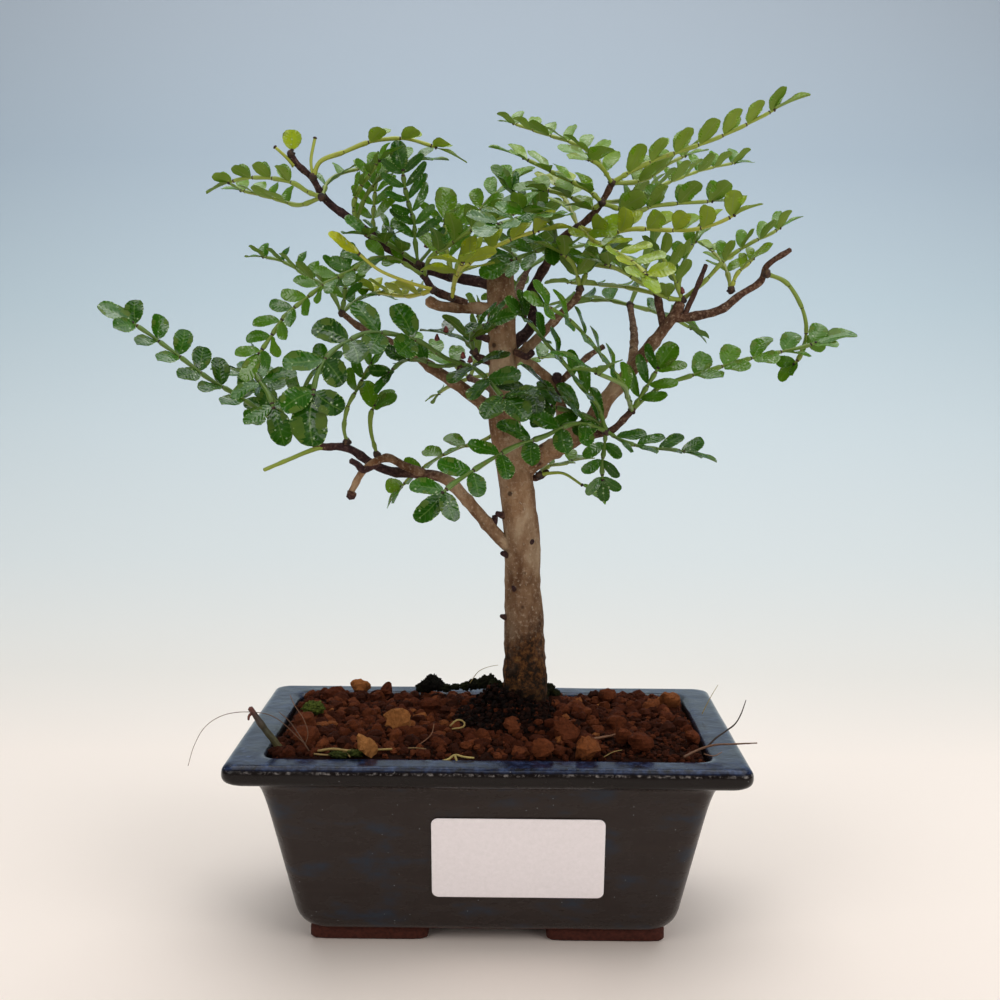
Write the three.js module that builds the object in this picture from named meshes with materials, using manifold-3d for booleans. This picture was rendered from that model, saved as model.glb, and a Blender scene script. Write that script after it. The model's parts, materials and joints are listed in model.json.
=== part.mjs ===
// A Chinese pepper bonsai in its glazed pot. Millimetres, +Z up, the front of the pot towards -Y.
// The origin is the middle of the bounding box, at the height that the pot's feet stand on.
import * as THREE from 'three';
import Module from 'manifold-3d';
import { mergeVertices } from 'three/addons/utils/BufferGeometryUtils.js';

const wasm = await Module();
wasm.setup();

// Driving dimensions of the pot
const RIM_LENGTH = 152;
const RIM_WIDTH = 97;
const RIM_CORNER_RADIUS = 4;
const CORNER_GROWTH = 0.15;
const POT_HEIGHT = 61;
const CORNER_STEPS = 3;
const FOOT = { length: 36, width: 14, height: 4, fromMiddleX: 18, fromMiddleY: 11, sunk: 2 };
const DRAIN = { radius: 6, fromMiddle: 26 };
const FLOOR_TOP = 10;
// The pot's wall in section: [inset from the rim's outer edge, height], outside from the base
// up to the rim, over it, and down the inside to the floor.
const RIM_INSIDE = 9.6;
const POT_SECTION = [
  [24, FOOT.height], [20.5, 5.2], [18.2, 9], [10.6, 47], [8.4, 53.4], [1.4, 55], [0, 56.6],
  [0, 59.6], [1.4, POT_HEIGHT],
  [RIM_INSIDE, POT_HEIGHT], [10.8, 59.8], [14.2, 50], [21.6, 15], [25, FLOOR_TOP],
];

// Driving dimensions of what the pot holds
const CLEARANCE = 0.3;
const PROUD = 0.2;
const MESH_SQUARE = { side: 20, thickness: 0.8, window: 6, bar: 2.4 };
const SOIL_SECTION = [
  [25.5, FLOOR_TOP + CLEARANCE], [22, 15], [14.6, 50], [11.3, 58.6], [15, 60.4], [30, 62],
];
const MOUND = { at: [520, 700, 0], radius: 24, flatness: 0.8, height: 9, level: 60 };
const GRAINS = { count: 34, smallest: 2, largest: 3.8, sunk: 0.35, fromRim: 16, level: 61.4 };
const LABEL = { width: 51, height: 26.4, thickness: 0.6, corner: 2, across: 518, down: 858, level: 30 };

// The view that the plant's growth is described from: a station, its aim and its focal length.
// A point of a branch or a leaf is [across, down, depth]: where it shows in that view, a square
// 1000 units wide, and how far it lies behind the middle plane of the pot, in millimetres.
const STATION = new THREE.Vector3(6.4, -423, 179);
const AIM = { yaw: -0.48, pitch: 6.3, roll: 0.37 };
const FOCAL = 1365;
const MIDDLE = 500;

// Driving dimensions of the foliage
const BLADE_THICKNESS = 0.62;
const RIB_THICKNESS = 0.9;
const RIB_HALF_WIDTH = 0.55;
const WING_HALF_WIDTH = 0.85;
const BUD_RADIUS = 1.5;
const TIP_GAP = BUD_RADIUS + CLEARANCE;
const LEAFLET_ASPECT = 0.64;
const LEAFLET_ROOM = 0.95;
const LEAFLET_SHRINK = 0.12;
const END_SHARE = 0.8;
const LEAFLET_SPREAD = 52;
const LEAFLET_FOLD = 25;
const LEAFLET_TWIST = 20;
const DROOP = 0.12;
const SMALL_LEAFLET = 9.7;
const SPREAD_VARIATION = 10;
const JOINT_HALF_LENGTH = 0.75;
const LAST_PAIR_GAP = 1.6;
// The end leaflet's root inside the rib: how far back it starts, its half width and its thickness
const END_ROOT = { back: 0.6, halfWidth: 0.42, thickness: 0.7 };
const LONG_RIB = 22;
// How far a leaf's tip may be moved to be clear of others, and the room that each piece is given:
// balls at a spacing, with the radius of a rib, a share of a leaflet's width, or what wood has more
const TIP_SHIFTS = [0, 4, -4, 8, -8, 12, -12, 16, -16, 20, -20];
const ROOM = {
  spacing: 3, ribFrom: 0.15, ribRadius: 0.8, leafletPlaces: [0.45, 0.8], leafletShare: 0.4,
  aroundWood: 0.6, ownLeaves: 0.3, fromBud: 5,
};

// Thicknesses in a branch are radii. Each branch is [its points, radius at the root, at the tip].
// A tube has a count of sides, and rings at a spacing.
const TRUNK_TUBE = [10, 14];
const ROOT_TUBE = [5, 12];
const LIMB_TUBE = { sides: 5, thickSides: 7, thick: 3, spacing: 11 };
const ROOT_RADII = [3.2, 1.2];
const TRUNK = {
  points: [
    [526, 735, 0], [525, 700, 0], [525, 667, 0], [524, 640, 0], [523, 600, 0], [522, 550, 0],
    [518, 500, 0], [512, 460, 0], [505, 420, 0], [503, 370, 0], [502, 320, 0], [500, 273, 0],
  ],
  radii: [7.6, 7.2, 6.4, 5.9, 5.5, 5.6, 5.3, 5.2, 4.8, 4.5, 4.1, 3.9],
};
const ROOTS = [
  [[526, 712, 0], [500, 738, -12], [470, 765, -20]],
  [[526, 712, 0], [560, 735, -8], [590, 760, -14]],
  [[526, 712, 0], [520, 735, 14], [514, 752, 26]],
];
const BRANCHES = {
  lower_left: [[[523, 556, 0], [500, 538, -2], [465, 498, -3], [447, 480, -2], [425, 474, 0], [395, 472, 0],
    [375, 465, 0], [347, 448, 0], [320, 446, 0], [296, 432, 0]], 2.2, 1.0],
  lower_left_dead: [[[425, 474, 0], [405, 466, -3], [386, 458, -5], [364, 470, -7],
    [350, 494, -8]], 1.4, 1.0],
  lower_left_dark: [[[378, 463, -5], [364, 470, -8], [357, 464, -9], [348, 459, -9]], 1.1, 0.9],
  lower_left_petiole: [[[328, 446, 0], [312, 450, -1], [290, 459, -3], [264, 470, -4]], 0.8, 0.6],
  middle_left: [[[492, 412, 0], [478, 400, -3], [455, 383, -4], [432, 368, -3], [412, 352, 0],
    [385, 340, 3], [360, 327, 5], [342, 313, 5]], 2.2, 0.9],
  middle_left_spur: [[[455, 383, -4], [460, 373, -5], [462, 364, -6]], 1.4, 1.2],
  upper_left_cut: [[[492, 308, 0], [465, 308, -2], [440, 306, -4], [425, 299, -5]], 1.8, 1.5],
  upper_left_dark: [[[466, 304, -2], [452, 298, -3], [434, 290, -3], [424, 276, -2]], 1.4, 1.0],
  long_upper_left: [[[498, 285, 1], [455, 277, 5], [420, 266, 4], [400, 255, 2], [380, 242, 0],
    [355, 222, 0], [335, 208, 0], [323, 196, 0], [312, 178, 0], [298, 165, 0], [291, 154, 0]], 1.9, 0.9],
  spur_left_of_trunk: [[[490, 362, 0], [478, 357, -3], [474, 351, -4]], 1.2, 1.0],
  leader: [[[508, 350, 0], [532, 325, 6], [530, 300, 8], [536, 282, 8], [548, 262, 6], [560, 240, 5],
    [585, 222, 3], [600, 205, 2], [612, 183, 0]], 1.9, 0.9],
  right_up: [[[512, 362, 0], [540, 336, -3], [557, 318, -4], [575, 300, -4], [580, 289, -4]], 1.7, 1.0],
  right_loop: [[[570, 440, 0], [562, 412, -4], [557, 395, -5], [551, 382, -5], [540, 371, -4],
    [520, 356, -1]], 2.2, 1.1],
  right_loop_twig: [[[556, 386, -5], [575, 368, -2], [590, 355, 2], [606, 345, 4]], 1.1, 0.8],
  right_main: [[[518, 470, 0], [555, 448, 0], [578, 435, 0], [600, 410, 0], [610, 395, 0], [640, 360, 0],
    [655, 340, 0], [672, 318, 0], [682, 300, 0]], 3.4, 1.4],
  right_main_stub: [[[664, 328, 0], [660, 310, 2], [657, 294, 3]], 1.3, 1.1],
  right_long: [[[672, 318, 0], [690, 317, 0], [720, 310, 0], [740, 295, 0], [760, 282, 0], [768, 265, 0],
    [793, 248, 0]], 1.5, 0.8],
  right_long_twig: [[[684, 316, 0], [698, 285, -2], [707, 262, -2]], 0.9, 0.7],
  right_front_spur: [[[578, 436, 0], [596, 434, -5], [612, 430, -6], [625, 418, -6],
    [632, 410, -6]], 1.5, 0.9],
  back_left: [[[504, 400, 3], [490, 388, 22], [470, 378, 42]], 1.8, 0.9],
  back_middle: [[[502, 330, 2], [515, 300, 20], [528, 268, 40]], 1.8, 0.9],
  back_right: [[[632, 370, 0], [634, 335, 18], [630, 305, 36]], 1.6, 0.9],
};

// Each spray is [its bud, its leaves], and a leaf is a rib with these values:
//   rib     where it passes after the bud, [across, down]
//   tip     depth of its tip, in millimetres; the depth goes evenly from the bud to the tip
//   pairs   of leaflets, and size, a leaflet's length in millimetres
//   face    how far its upper side turns to the view, from -1, away, over 0, flat, to 1
//   lean    how far its upper side turns to the right
//   bare    the share of the rib before its first leaflets
//   end     length of the leaflet at the tip, if it isn't size
//   aspect  a leaflet's width as a share of its length
//   spread  the angle between a leaflet and the rib, in degrees
//   fold    how far each pair is folded up into a V, in degrees
const leaf = (rib, tip, pairs, size, face, more = {}) => ({
  rib, tip, pairs, size, face, lean: 0, bare: 0.3, end: size,
  aspect: LEAFLET_ASPECT, spread: LEAFLET_SPREAD, fold: LEAFLET_FOLD, ...more,
});
const SPRAYS = {
  leaves_far_left_high: [[322, 197, -2.7], [
    leaf([[308, 192], [293, 183], [269, 178], [241, 179], [209, 190]],
      -2, 4, 6.6, 0.1, { bare: 0.35, end: 8, fold: 55 }),
    leaf([[299, 205], [276, 199], [256, 194], [226, 187]], 18, 3, 7.4, 0.25, { bare: 0.4, fold: 40 }),
    leaf([[329, 181], [349, 171], [374, 168]], 16, 3, 6.8, 0.2, { bare: 0.25, fold: 35 }),
  ]],
  leaves_left_arch: [[313, 177, -2.7], [
    leaf([[321, 161], [344, 152], [366, 143], [387, 139], [407, 139], [426, 144], [460, 156]],
      -5, 3, 7.8, 0.1,
      { bare: 0.5, end: 9.5, fold: 35 }),
    leaf([[311, 160], [315, 138]], 0, 0, 7.2, 0.8, { end: 0 }),
  ]],
  leaf_left_tip: [[291, 154, 0], [
    leaf([[292, 151], [292, 150]], 0, 0, 7, 0.85, { end: 6.6, bare: 0.5, aspect: 0.9 }),
  ]],
  leaves_left_high: [[356, 222, -2.9], [
    leaf([[354, 203], [362, 185], [372, 172], [380, 160], [400, 152]],
      -12, 4, 9, 0.45, { bare: 0.35, fold: 22 }),
    leaf([[366, 196], [384, 174], [408, 162], [442, 158]], -16, 4, 9, 0.4, { bare: 0.42, fold: 20 }),
  ]],
  leaves_left_high_back: [[376, 239, 3], [
    leaf([[373, 222], [375, 194], [375, 172], [370, 156]], 14, 4, 8.4, 0.3, { bare: 0.3, fold: 25 }),
    leaf([[386, 236], [394, 225], [402, 212]], 8, 2, 8.4, 0.3),
  ]],
  leaves_left_upright: [[418, 264, 0.5], [
    leaf([[415, 240], [414, 222], [409, 205], [405, 188], [402, 168], [396, 145]], -8, 6, 9.4, 0.62,
      { bare: 0.26, fold: 20 }),
    leaf([[392, 246], [370, 236], [347, 232]], -20, 3, 9, 0.45, { fold: 35 }),
    leaf([[430, 250], [436, 240]], 2, 0, 3.6, 0.8, { end: 4.8 }),
  ]],
  leaves_left_long_front: [[424, 276, -2], [
    leaf([[395, 259], [372, 259], [350, 271], [325, 284], [304, 300], [285, 316], [270, 338],
      [257, 357], [247, 374]],
      -14, 11, 9, 0.6, { bare: 0.12, spread: 58, fold: 20 }),
    leaf([[430, 258], [448, 246], [472, 230], [506, 216], [545, 207]],
      -32, 5, 10.8, 0.15, { bare: 0.28, fold: 48 }),
  ]],
  leaf_left_yellow: [[434, 290, -6.1], [
    leaf([[405, 281], [379, 270], [359, 254]], -16, 0, 9, 0.8, { end: 11, bare: 0.9, aspect: 0.36 }),
    leaf([[410, 296], [388, 294], [360, 288]], 22, 3, 8.2, 0.1, { bare: 0.2, fold: 50 }),
  ]],
  leaves_lime_middle: [[452, 298, -6.2], [
    leaf([[456, 278], [470, 263], [486, 252], [501, 244], [530, 233], [564, 226]], -30, 4, 9.6, 0.1,
      { bare: 0.35, fold: 50 }),
    leaf([[455, 280], [461, 266], [468, 252]],
      -34, 2, 11, 0.35, { bare: 0.6, end: 9, spread: 76, fold: 15 }),
  ]],
  leaves_upper_left_middle: [[453, 277, 1.5], [
    leaf([[446, 248], [445, 222], [447, 194]], -8, 4, 10.4, 0.4, { fold: 20, aspect: 0.7 }),
    leaf([[463, 250], [477, 214], [500, 190], [527, 168]], 8, 5, 9.4, 0.3, { bare: 0.3, fold: 25 }),
  ]],
  leaves_left_twig_end: [[342, 313, 5], [
    leaf([[329, 290], [304, 274], [290, 265], [275, 259], [249, 255]],
      30, 5, 7.2, 0.1, { bare: 0.2, fold: 50 }),
    leaf([[345, 292], [346, 270], [353, 250]], -2, 3, 8.6, 0.5),
    leaf([[357, 300], [374, 294], [392, 297]], 20, 2, 8.4, 0.3),
  ]],
  leaves_front_left: [[462, 364, -6], [
    leaf([[444, 357], [416, 340], [374, 332], [348, 341], [326, 358], [314, 388], [315, 436]],
      -45, 4, 11.4, 0.75,
      { bare: 0.3, end: 15.2, spread: 58, fold: 14, aspect: 0.72 }),
    leaf([[438, 366], [418, 360], [402, 362], [388, 375], [380, 390]],
      -12, 3, 7.4, 0.5, { bare: 0.45, fold: 40 }),
    leaf([[474, 368], [488, 380], [502, 396], [522, 412]], -38, 2, 11.6, 0.8, { bare: 0.2, fold: 12 }),
  ]],
  leaves_left_of_trunk: [[474, 351, -4], [
    leaf([[471, 335], [484, 325], [510, 316]], -18, 3, 9.8, 0.6, { fold: 20 }),
    leaf([[462, 338], [448, 334], [430, 328]], 12, 2, 9, 0.4),
  ]],
  leaves_lower_left_long: [[296, 432, 0], [
    leaf([[268, 416], [240, 397], [208, 378], [183, 359], [160, 342], [139, 327], [108, 308]],
      -10, 7, 9.2, 0.6,
      { bare: 0.18, end: 10.4, spread: 62, fold: 22, aspect: 0.74 }),
    leaf([[272, 398], [256, 372], [259, 380], [270, 398], [283, 440]], -46, 2, 10.8, 0.75,
      { bare: 0.5, end: 13.4, spread: 75, fold: 5, aspect: 0.52 }),
    leaf([[276, 412], [263, 386], [246, 372], [222, 366]], 14, 3, 9.4, 0.2, { spread: 60, fold: 12 }),
    leaf([[297, 408], [312, 374], [336, 357]], -14, 2, 9, 0.7, { bare: 0.5 }),
  ]],
  leaf_lower_left_upright: [[347, 442, 0], [
    leaf([[344, 428], [348, 406], [358, 388], [370, 366], [384, 348]],
      -4, 3, 7.6, 0.5, { bare: 0.6, fold: 35 }),
  ]],
  leaf_lower_left_second: [[377, 455, 0], [
    leaf([[371, 432], [371, 414], [377, 404], [394, 394]], 4, 1, 8.8, 0.5, { bare: 0.75, fold: 30 }),
  ]],
  leaves_front_middle: [[606, 431, -9], [
    leaf([[585, 424], [568, 425], [545, 436], [516, 446], [490, 460], [468, 474], [448, 488], [423, 513]],
      -56, 6, 10.6, 0.8, { bare: 0.12, spread: 56, fold: 10, aspect: 0.56 }),
    leaf([[597, 405], [582, 388], [567, 367], [548, 345], [532, 325], [510, 302]],
      -46, 4, 8.6, 0.6, { lean: 0.4 }),
    leaf([[604, 450], [602, 468], [604, 497]], -10, 3, 7.2, 0.7, { bare: 0.2, end: 6.5 }),
    leaf([[625, 442], [650, 448], [675, 450], [709, 457]],
      -14, 4, 9.4, 0.4, { bare: 0.12, spread: 44, fold: 30 }),
    leaf([[594, 420], [574, 412], [550, 406], [522, 398]], -34, 3, 11.6, 0.75, { bare: 0.15, fold: 10 }),
  ]],
  leaves_centre_dark: [[557, 396, -8.7], [
    leaf([[547, 388], [532, 390], [512, 402]], -30, 2, 11, 0.75,
      { bare: 0.35, end: 8, fold: 12, aspect: 0.56 }),
  ]],
  leaves_right_front: [[632, 410, -6], [
    leaf([[648, 396], [664, 385], [690, 376], [720, 367], [752, 358], [780, 352], [806, 346], [848, 332]],
      -8, 5, 9.8, 0.5, { bare: 0.36, end: 12.6, spread: 48, fold: 18, aspect: 0.72 }),
    leaf([[624, 388], [610, 366], [597, 350], [583, 333], [567, 318], [550, 308], [528, 296]],
      -44, 5, 9.6, 0.55,
      { lean: 0.5, bare: 0.12, fold: 18 }),
    leaf([[628, 398], [624, 386], [604, 376], [577, 366]],
      -38, 1, 13, 0.2, { bare: 0.5, end: 13.4, aspect: 0.42 }),
    leaf([[641, 396], [651, 380], [661, 364], [674, 347]],
      -24, 3, 9.8, 0.7, { bare: 0.25, fold: 12, aspect: 0.78 }),
  ]],
  leaves_right_fork: [[682, 300, 0], [
    leaf([[705, 281], [725, 260], [751, 243], [772, 233], [796, 217]], 6, 3, 7.6, 0.05,
      { bare: 0.45, fold: 50, aspect: 0.5 }),
    leaf([[674, 278], [665, 262], [646, 236]], -10, 3, 8.6, -0.1, { bare: 0.35, fold: 40 }),
    leaf([[679, 280], [689, 251], [707, 228]], 10, 3, 7.8, -0.1, { bare: 0.4, fold: 50, aspect: 0.55 }),
    leaf([[665, 297], [645, 285], [615, 268], [583, 256]], -16, 4, 9.6, 0.1, { bare: 0.2, fold: 30 }),
  ]],
  leaves_right_stub: [[657, 294, 3], [
    leaf([[625, 287], [590, 284], [550, 281]], 28, 2, 8.4, 0.1, { bare: 0.35, fold: 10 }),
    leaf([[638, 272], [612, 268], [580, 262], [543, 258]], 14, 4, 9.2, 0.1, { fold: 30 }),
  ]],
  leaves_right_branch: [[731, 290, 0], [
    leaf([[727, 272], [718, 258], [702, 240]], 20, 3, 6.6, 0.1, { bare: 0.4, fold: 24, spread: 58 }),
    leaf([[737, 274], [751, 261], [767, 245]], 10, 2, 7.4, 0.1, { bare: 0.55, fold: 30 }),
  ]],
  leaf_right_drooping: [[767, 274, -2.8], [
    leaf([[784, 281], [795, 294], [804, 314], [806, 334], [799, 358], [781, 376]], -10, 2, 6.6, 0.4,
      { bare: 0.7, lean: 0.3, fold: 45 }),
  ]],
  leaves_centre_right: [[580, 289, -4], [
    leaf([[574, 266], [560, 253], [538, 246]], -12, 2, 9.6, -0.1, { fold: 30 }),
    leaf([[590, 266], [604, 254], [632, 246]], -14, 3, 9.4, 0.1, { fold: 30 }),
  ]],
  leaves_top_right: [[612, 183, 0], [
    leaf([[630, 172], [655, 160], [681, 151], [707, 142], [733, 131], [761, 117], [801, 95]],
      -6, 7, 9.4, 0.05,
      { bare: 0.1, end: 11, spread: 48, fold: 56, aspect: 0.82 }),
    leaf([[636, 182], [652, 176], [672, 162], [702, 149]], 20, 4, 8.4, 0.1, { fold: 50 }),
    leaf([[602, 168], [590, 160], [572, 158]], -20, 1, 11, 0.2, { end: 10 }),
    leaf([[600, 164], [590, 152], [570, 142], [545, 134], [521, 126], [501, 119]], 38, 5, 7.8, 0.2,
      { bare: 0.1, fold: 40 }),
  ]],
  leaves_upper_middle: [[602, 203, -0.9], [
    leaf([[630, 199], [655, 188], [680, 178], [706, 169], [749, 160]],
      52, 4, 9, 0.1, { bare: 0.18, fold: 55 }),
    leaf([[632, 212], [655, 206], [685, 203], [735, 200]],
      6, 4, 9, 0.05, { bare: 0.15, fold: 60, aspect: 0.76 }),
    leaf([[588, 190], [560, 176], [530, 161], [499, 147]], -8, 4, 10, 0.35, { bare: 0.15, fold: 18 }),
    leaf([[590, 208], [568, 196], [544, 190], [518, 188]], -18, 3, 9.8, 0.3, { bare: 0.15, fold: 25 }),
  ]],
  leaves_long_yellow: [[578, 227, 0.5], [
    leaf([[604, 234], [634, 229], [663, 230], [690, 230], [718, 223], [757, 203]], -22, 6, 9, 0.05,
      { bare: 0.1, fold: 58 }),
    leaf([[570, 208], [560, 192], [550, 174]], 20, 3, 9, 0.1),
    leaf([[598, 244], [622, 255], [640, 268], [654, 286]], -30, 3, 9.4, 0.3, { bare: 0.12, fold: 30 }),
  ]],
  leaves_top_left: [[558, 241, 1.9], [
    leaf([[545, 225], [525, 208], [510, 190], [504, 166]], -18, 4, 9.8, 0.25, { fold: 25 }),
    leaf([[550, 222], [536, 216], [512, 220], [484, 230]], -38, 3, 10.6, 0.5, { fold: 20 }),
    leaf([[545, 248], [528, 254], [508, 262], [486, 272]], -26, 3, 11, 0.6, { bare: 0.12, fold: 12 }),
  ]],
  leaves_back_lower: [[539, 475, 0], [
    leaf([[549, 466], [566, 463], [588, 454]], 14, 2, 8.2, 0.3, { bare: 0.4 }),
    leaf([[552, 473], [565, 474], [582, 485]], -6, 0, 8, 0.4, { bare: 0.5, end: 9 }),
    leaf([[545, 462], [549, 450]], 16, 0, 7, 0.5, { end: 6 }),
  ]],
  leaf_lower_back_left: [[505, 428, 6.9], [
    leaf([[480, 442], [458, 448], [438, 458], [410, 478], [388, 503]], 12, 4, 8.6, 0.4, { bare: 0.35 }),
  ]],
  leaves_back_left: [[470, 378, 42], [
    leaf([[455, 384], [443, 390], [434, 400]], 60, 1, 6, 0.6, { bare: 0.7 }),
    leaf([[450, 362], [425, 350], [398, 344]], 58, 2, 9.1, 0.4),
    leaf([[478, 352], [480, 325], [470, 300]], 66, 2, 9.1, -0.5),
    leaf([[500, 372], [530, 360], [560, 356]], 60, 2, 9.1, 0.4),
  ]],
  leaves_back_middle: [[528, 268, 40], [
    leaf([[505, 248], [480, 240], [450, 238]], 58, 2, 9.4, -0.3),
    leaf([[532, 240], [538, 215], [536, 190]], 56, 2, 9.4, -0.5),
    leaf([[556, 252], [590, 244], [620, 240]], 62, 2, 9.4, -0.3),
    leaf([[515, 285], [500, 300], [478, 308]], 66, 2, 9.4, 0.3),
  ]],
  leaves_back_right: [[630, 305, 36], [
    leaf([[640, 280], [652, 255], [658, 230]], 52, 2, 9.1, -0.5),
    leaf([[606, 300], [580, 302], [552, 308]], 56, 2, 9.1, 0.3),
    leaf([[655, 312], [680, 322], [705, 338]], 56, 2, 9.1, 0.5),
  ]],
};

// Sprays that are lime or yellow rather than green
const YOUNG_SPRAYS = new Set([
  'leaves_left_arch', 'leaf_left_tip', 'leaf_left_yellow', 'leaves_lime_middle', 'leaves_right_branch',
  'leaves_top_right', 'leaves_long_yellow',
]);

const TWIG = {
  points: [[284, 764, -30], [282, 752, -30], [264, 728, -32], [250, 708, -33]],
  radius: 1.1,
  tip: 0.8,
};

// Helpers: the view, seeded draws, solids and meshes
const radians = THREE.MathUtils.degToRad;
const yaw = radians(AIM.yaw);
const pitch = radians(AIM.pitch);
const roll = radians(AIM.roll);
const ahead = new THREE.Vector3(
  Math.sin(yaw) * Math.cos(pitch), Math.cos(yaw) * Math.cos(pitch), -Math.sin(pitch));
const level = new THREE.Vector3(Math.cos(yaw), -Math.sin(yaw), 0);
const upright = new THREE.Vector3().crossVectors(level, ahead);
const right = level.clone().multiplyScalar(Math.cos(roll)).addScaledVector(upright, Math.sin(roll));
const above = upright.clone().multiplyScalar(Math.cos(roll)).addScaledVector(level, -Math.sin(roll));

function at([across, down, depth]) {
  const sight = ahead.clone().multiplyScalar(FOCAL)
    .addScaledVector(right, across - MIDDLE)
    .addScaledVector(above, MIDDLE - down);
  return STATION.clone().addScaledVector(sight, (depth - STATION.y) / sight.y);
}

function draw(seed) {
  const value = Math.sin(seed * 12.9898) * 43758.5453;
  return value - Math.floor(value);
}

function solid(geometry) {
  const bare = geometry.clone();
  bare.deleteAttribute('normal');
  bare.deleteAttribute('uv');
  const merged = mergeVertices(bare, 1e-4);
  return new wasm.Manifold(new wasm.Mesh({
    numProp: 3,
    vertProperties: new Float32Array(merged.getAttribute('position').array),
    triVerts: new Uint32Array(merged.index.array),
  }));
}

function solidOf(points, triangles) {
  const geometry = new THREE.BufferGeometry();
  const places = points.flatMap((point) => [point.x, point.y, point.z]);
  geometry.setAttribute('position', new THREE.Float32BufferAttribute(places, 3));
  geometry.setIndex(triangles);
  return solid(geometry);
}

function geometryOf(body) {
  const mesh = body.getMesh();
  const geometry = new THREE.BufferGeometry();
  geometry.setAttribute('position', new THREE.Float32BufferAttribute(mesh.vertProperties, 3));
  geometry.setIndex(Array.from(mesh.triVerts));
  return geometry;
}

function largestBody(body) {
  return body.decompose().reduce((most, one) => (one.volume() > most.volume() ? one : most));
}

function join(bodies) {
  return bodies.reduce((all, one) => all.add(one));
}

const bonsai = new THREE.Group();
function addPiece(name, body, color, roughness) {
  const material = new THREE.MeshStandardMaterial({ color, roughness, metalness: 0 });
  const mesh = new THREE.Mesh(geometryOf(body), material);
  mesh.name = name;
  bonsai.add(mesh);
}

// A closed skin through rings of points, each ring with the same count, capped flat at both ends.
function skin(rings) {
  const count = rings[0].length;
  const points = rings.flat();
  const triangles = [];
  for (let ring = 0; ring + 1 < rings.length; ring += 1) {
    for (let side = 0; side < count; side += 1) {
      const low = ring * count + side;
      const lowNext = ring * count + (side + 1) % count;
      triangles.push(low, lowNext, lowNext + count, low, lowNext + count, low + count);
    }
  }
  const last = (rings.length - 1) * count;
  for (let side = 1; side + 1 < count; side += 1) {
    triangles.push(0, side + 1, side);
    triangles.push(last, last + side, last + side + 1);
  }
  return solidOf(points, triangles);
}

// Pot: rounded rectangles at the heights of its section
function roundedRectangle(inset, height) {
  const radius = RIM_CORNER_RADIUS + CORNER_GROWTH * inset;
  const halfLength = RIM_LENGTH / 2 - inset - radius;
  const halfWidth = RIM_WIDTH / 2 - inset - radius;
  const ring = [];
  for (let corner = 0; corner < 4; corner += 1) {
    const middleX = corner === 0 || corner === 3 ? halfLength : -halfLength;
    const middleY = corner < 2 ? halfWidth : -halfWidth;
    for (let step = 0; step <= CORNER_STEPS; step += 1) {
      const angle = (corner + step / CORNER_STEPS) * Math.PI / 2;
      ring.push(new THREE.Vector3(
        middleX + radius * Math.cos(angle), middleY + radius * Math.sin(angle), height));
    }
  }
  return ring;
}

function potSkin(section) {
  return skin(section.map(([inset, height]) => roundedRectangle(inset, height)));
}

function makePot() {
  const inside = POT_SECTION.findIndex(([inset]) => inset === RIM_INSIDE);
  const outside = potSkin(POT_SECTION.slice(0, inside));
  const opening = [RIM_INSIDE - PROUD, POT_HEIGHT + PROUD];
  const hollow = potSkin([opening, ...POT_SECTION.slice(inside)].reverse());
  let pot = outside;
  for (const sideX of [-1, 1]) {
    for (const sideY of [-1, 1]) {
      const foot = new THREE.BoxGeometry(FOOT.length, FOOT.width, FOOT.height + FOOT.sunk);
      foot.translate(
        sideX * (FOOT.fromMiddleX + FOOT.length / 2),
        sideY * (FOOT.fromMiddleY + FOOT.width / 2),
        (FOOT.height + FOOT.sunk) / 2,
      );
      pot = pot.add(solid(foot));
    }
  }
  pot = pot.subtract(hollow);
  for (const side of [-1, 1]) {
    const drain = new THREE.CylinderGeometry(DRAIN.radius, DRAIN.radius, FLOOR_TOP * 2, 12);
    drain.rotateX(Math.PI / 2);
    drain.translate(side * DRAIN.fromMiddle, 0, FLOOR_TOP);
    pot = pot.subtract(solid(drain));
  }
  return pot;
}

// Plastic mesh squares over the drainage holes
function meshSquare(side) {
  const { side: reach, thickness, window, bar } = MESH_SQUARE;
  const middle = new THREE.Vector3(side * DRAIN.fromMiddle, 0, FLOOR_TOP + CLEARANCE + thickness / 2);
  const block = (width, height, x, y) => solid(new THREE.BoxGeometry(width, width, height)
    .translate(middle.x + x, middle.y + y, middle.z));
  let plate = block(reach, thickness, 0, 0);
  for (const column of [-0.5, 0.5]) {
    for (const row of [-0.5, 0.5]) {
      plate = plate.subtract(block(window, thickness * 2, column * (window + bar), row * (window + bar)));
    }
  }
  return plate;
}

// Wood: tapered tubes along smooth curves
function taperedTube(points, radii, sides, spacing, short = 0) {
  const curve = new THREE.CatmullRomCurve3(points, false, 'catmullrom', 0.5);
  const length = curve.getLength();
  const steps = Math.max(2, Math.ceil(length / spacing));
  const reach = 1 - short / length;
  const rings = [];
  let normal = new THREE.Vector3(0.3, 1, 0.2);
  for (let step = 0; step <= steps; step += 1) {
    const share = reach * step / steps;
    const middle = curve.getPointAt(share);
    const along = curve.getTangentAt(share);
    const place = share * (radii.length - 1);
    const from = Math.min(Math.floor(place), radii.length - 2);
    const radius = THREE.MathUtils.lerp(radii[from], radii[from + 1], place - from);
    normal = normal.clone().addScaledVector(along, -normal.dot(along)).normalize();
    const binormal = new THREE.Vector3().crossVectors(along, normal);
    const ring = [];
    for (let side = 0; side < sides; side += 1) {
      const angle = side / sides * Math.PI * 2;
      ring.push(middle.clone()
        .addScaledVector(normal, radius * Math.cos(angle))
        .addScaledVector(binormal, radius * Math.sin(angle)));
    }
    rings.push(ring);
  }
  return skin(rings);
}

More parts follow.
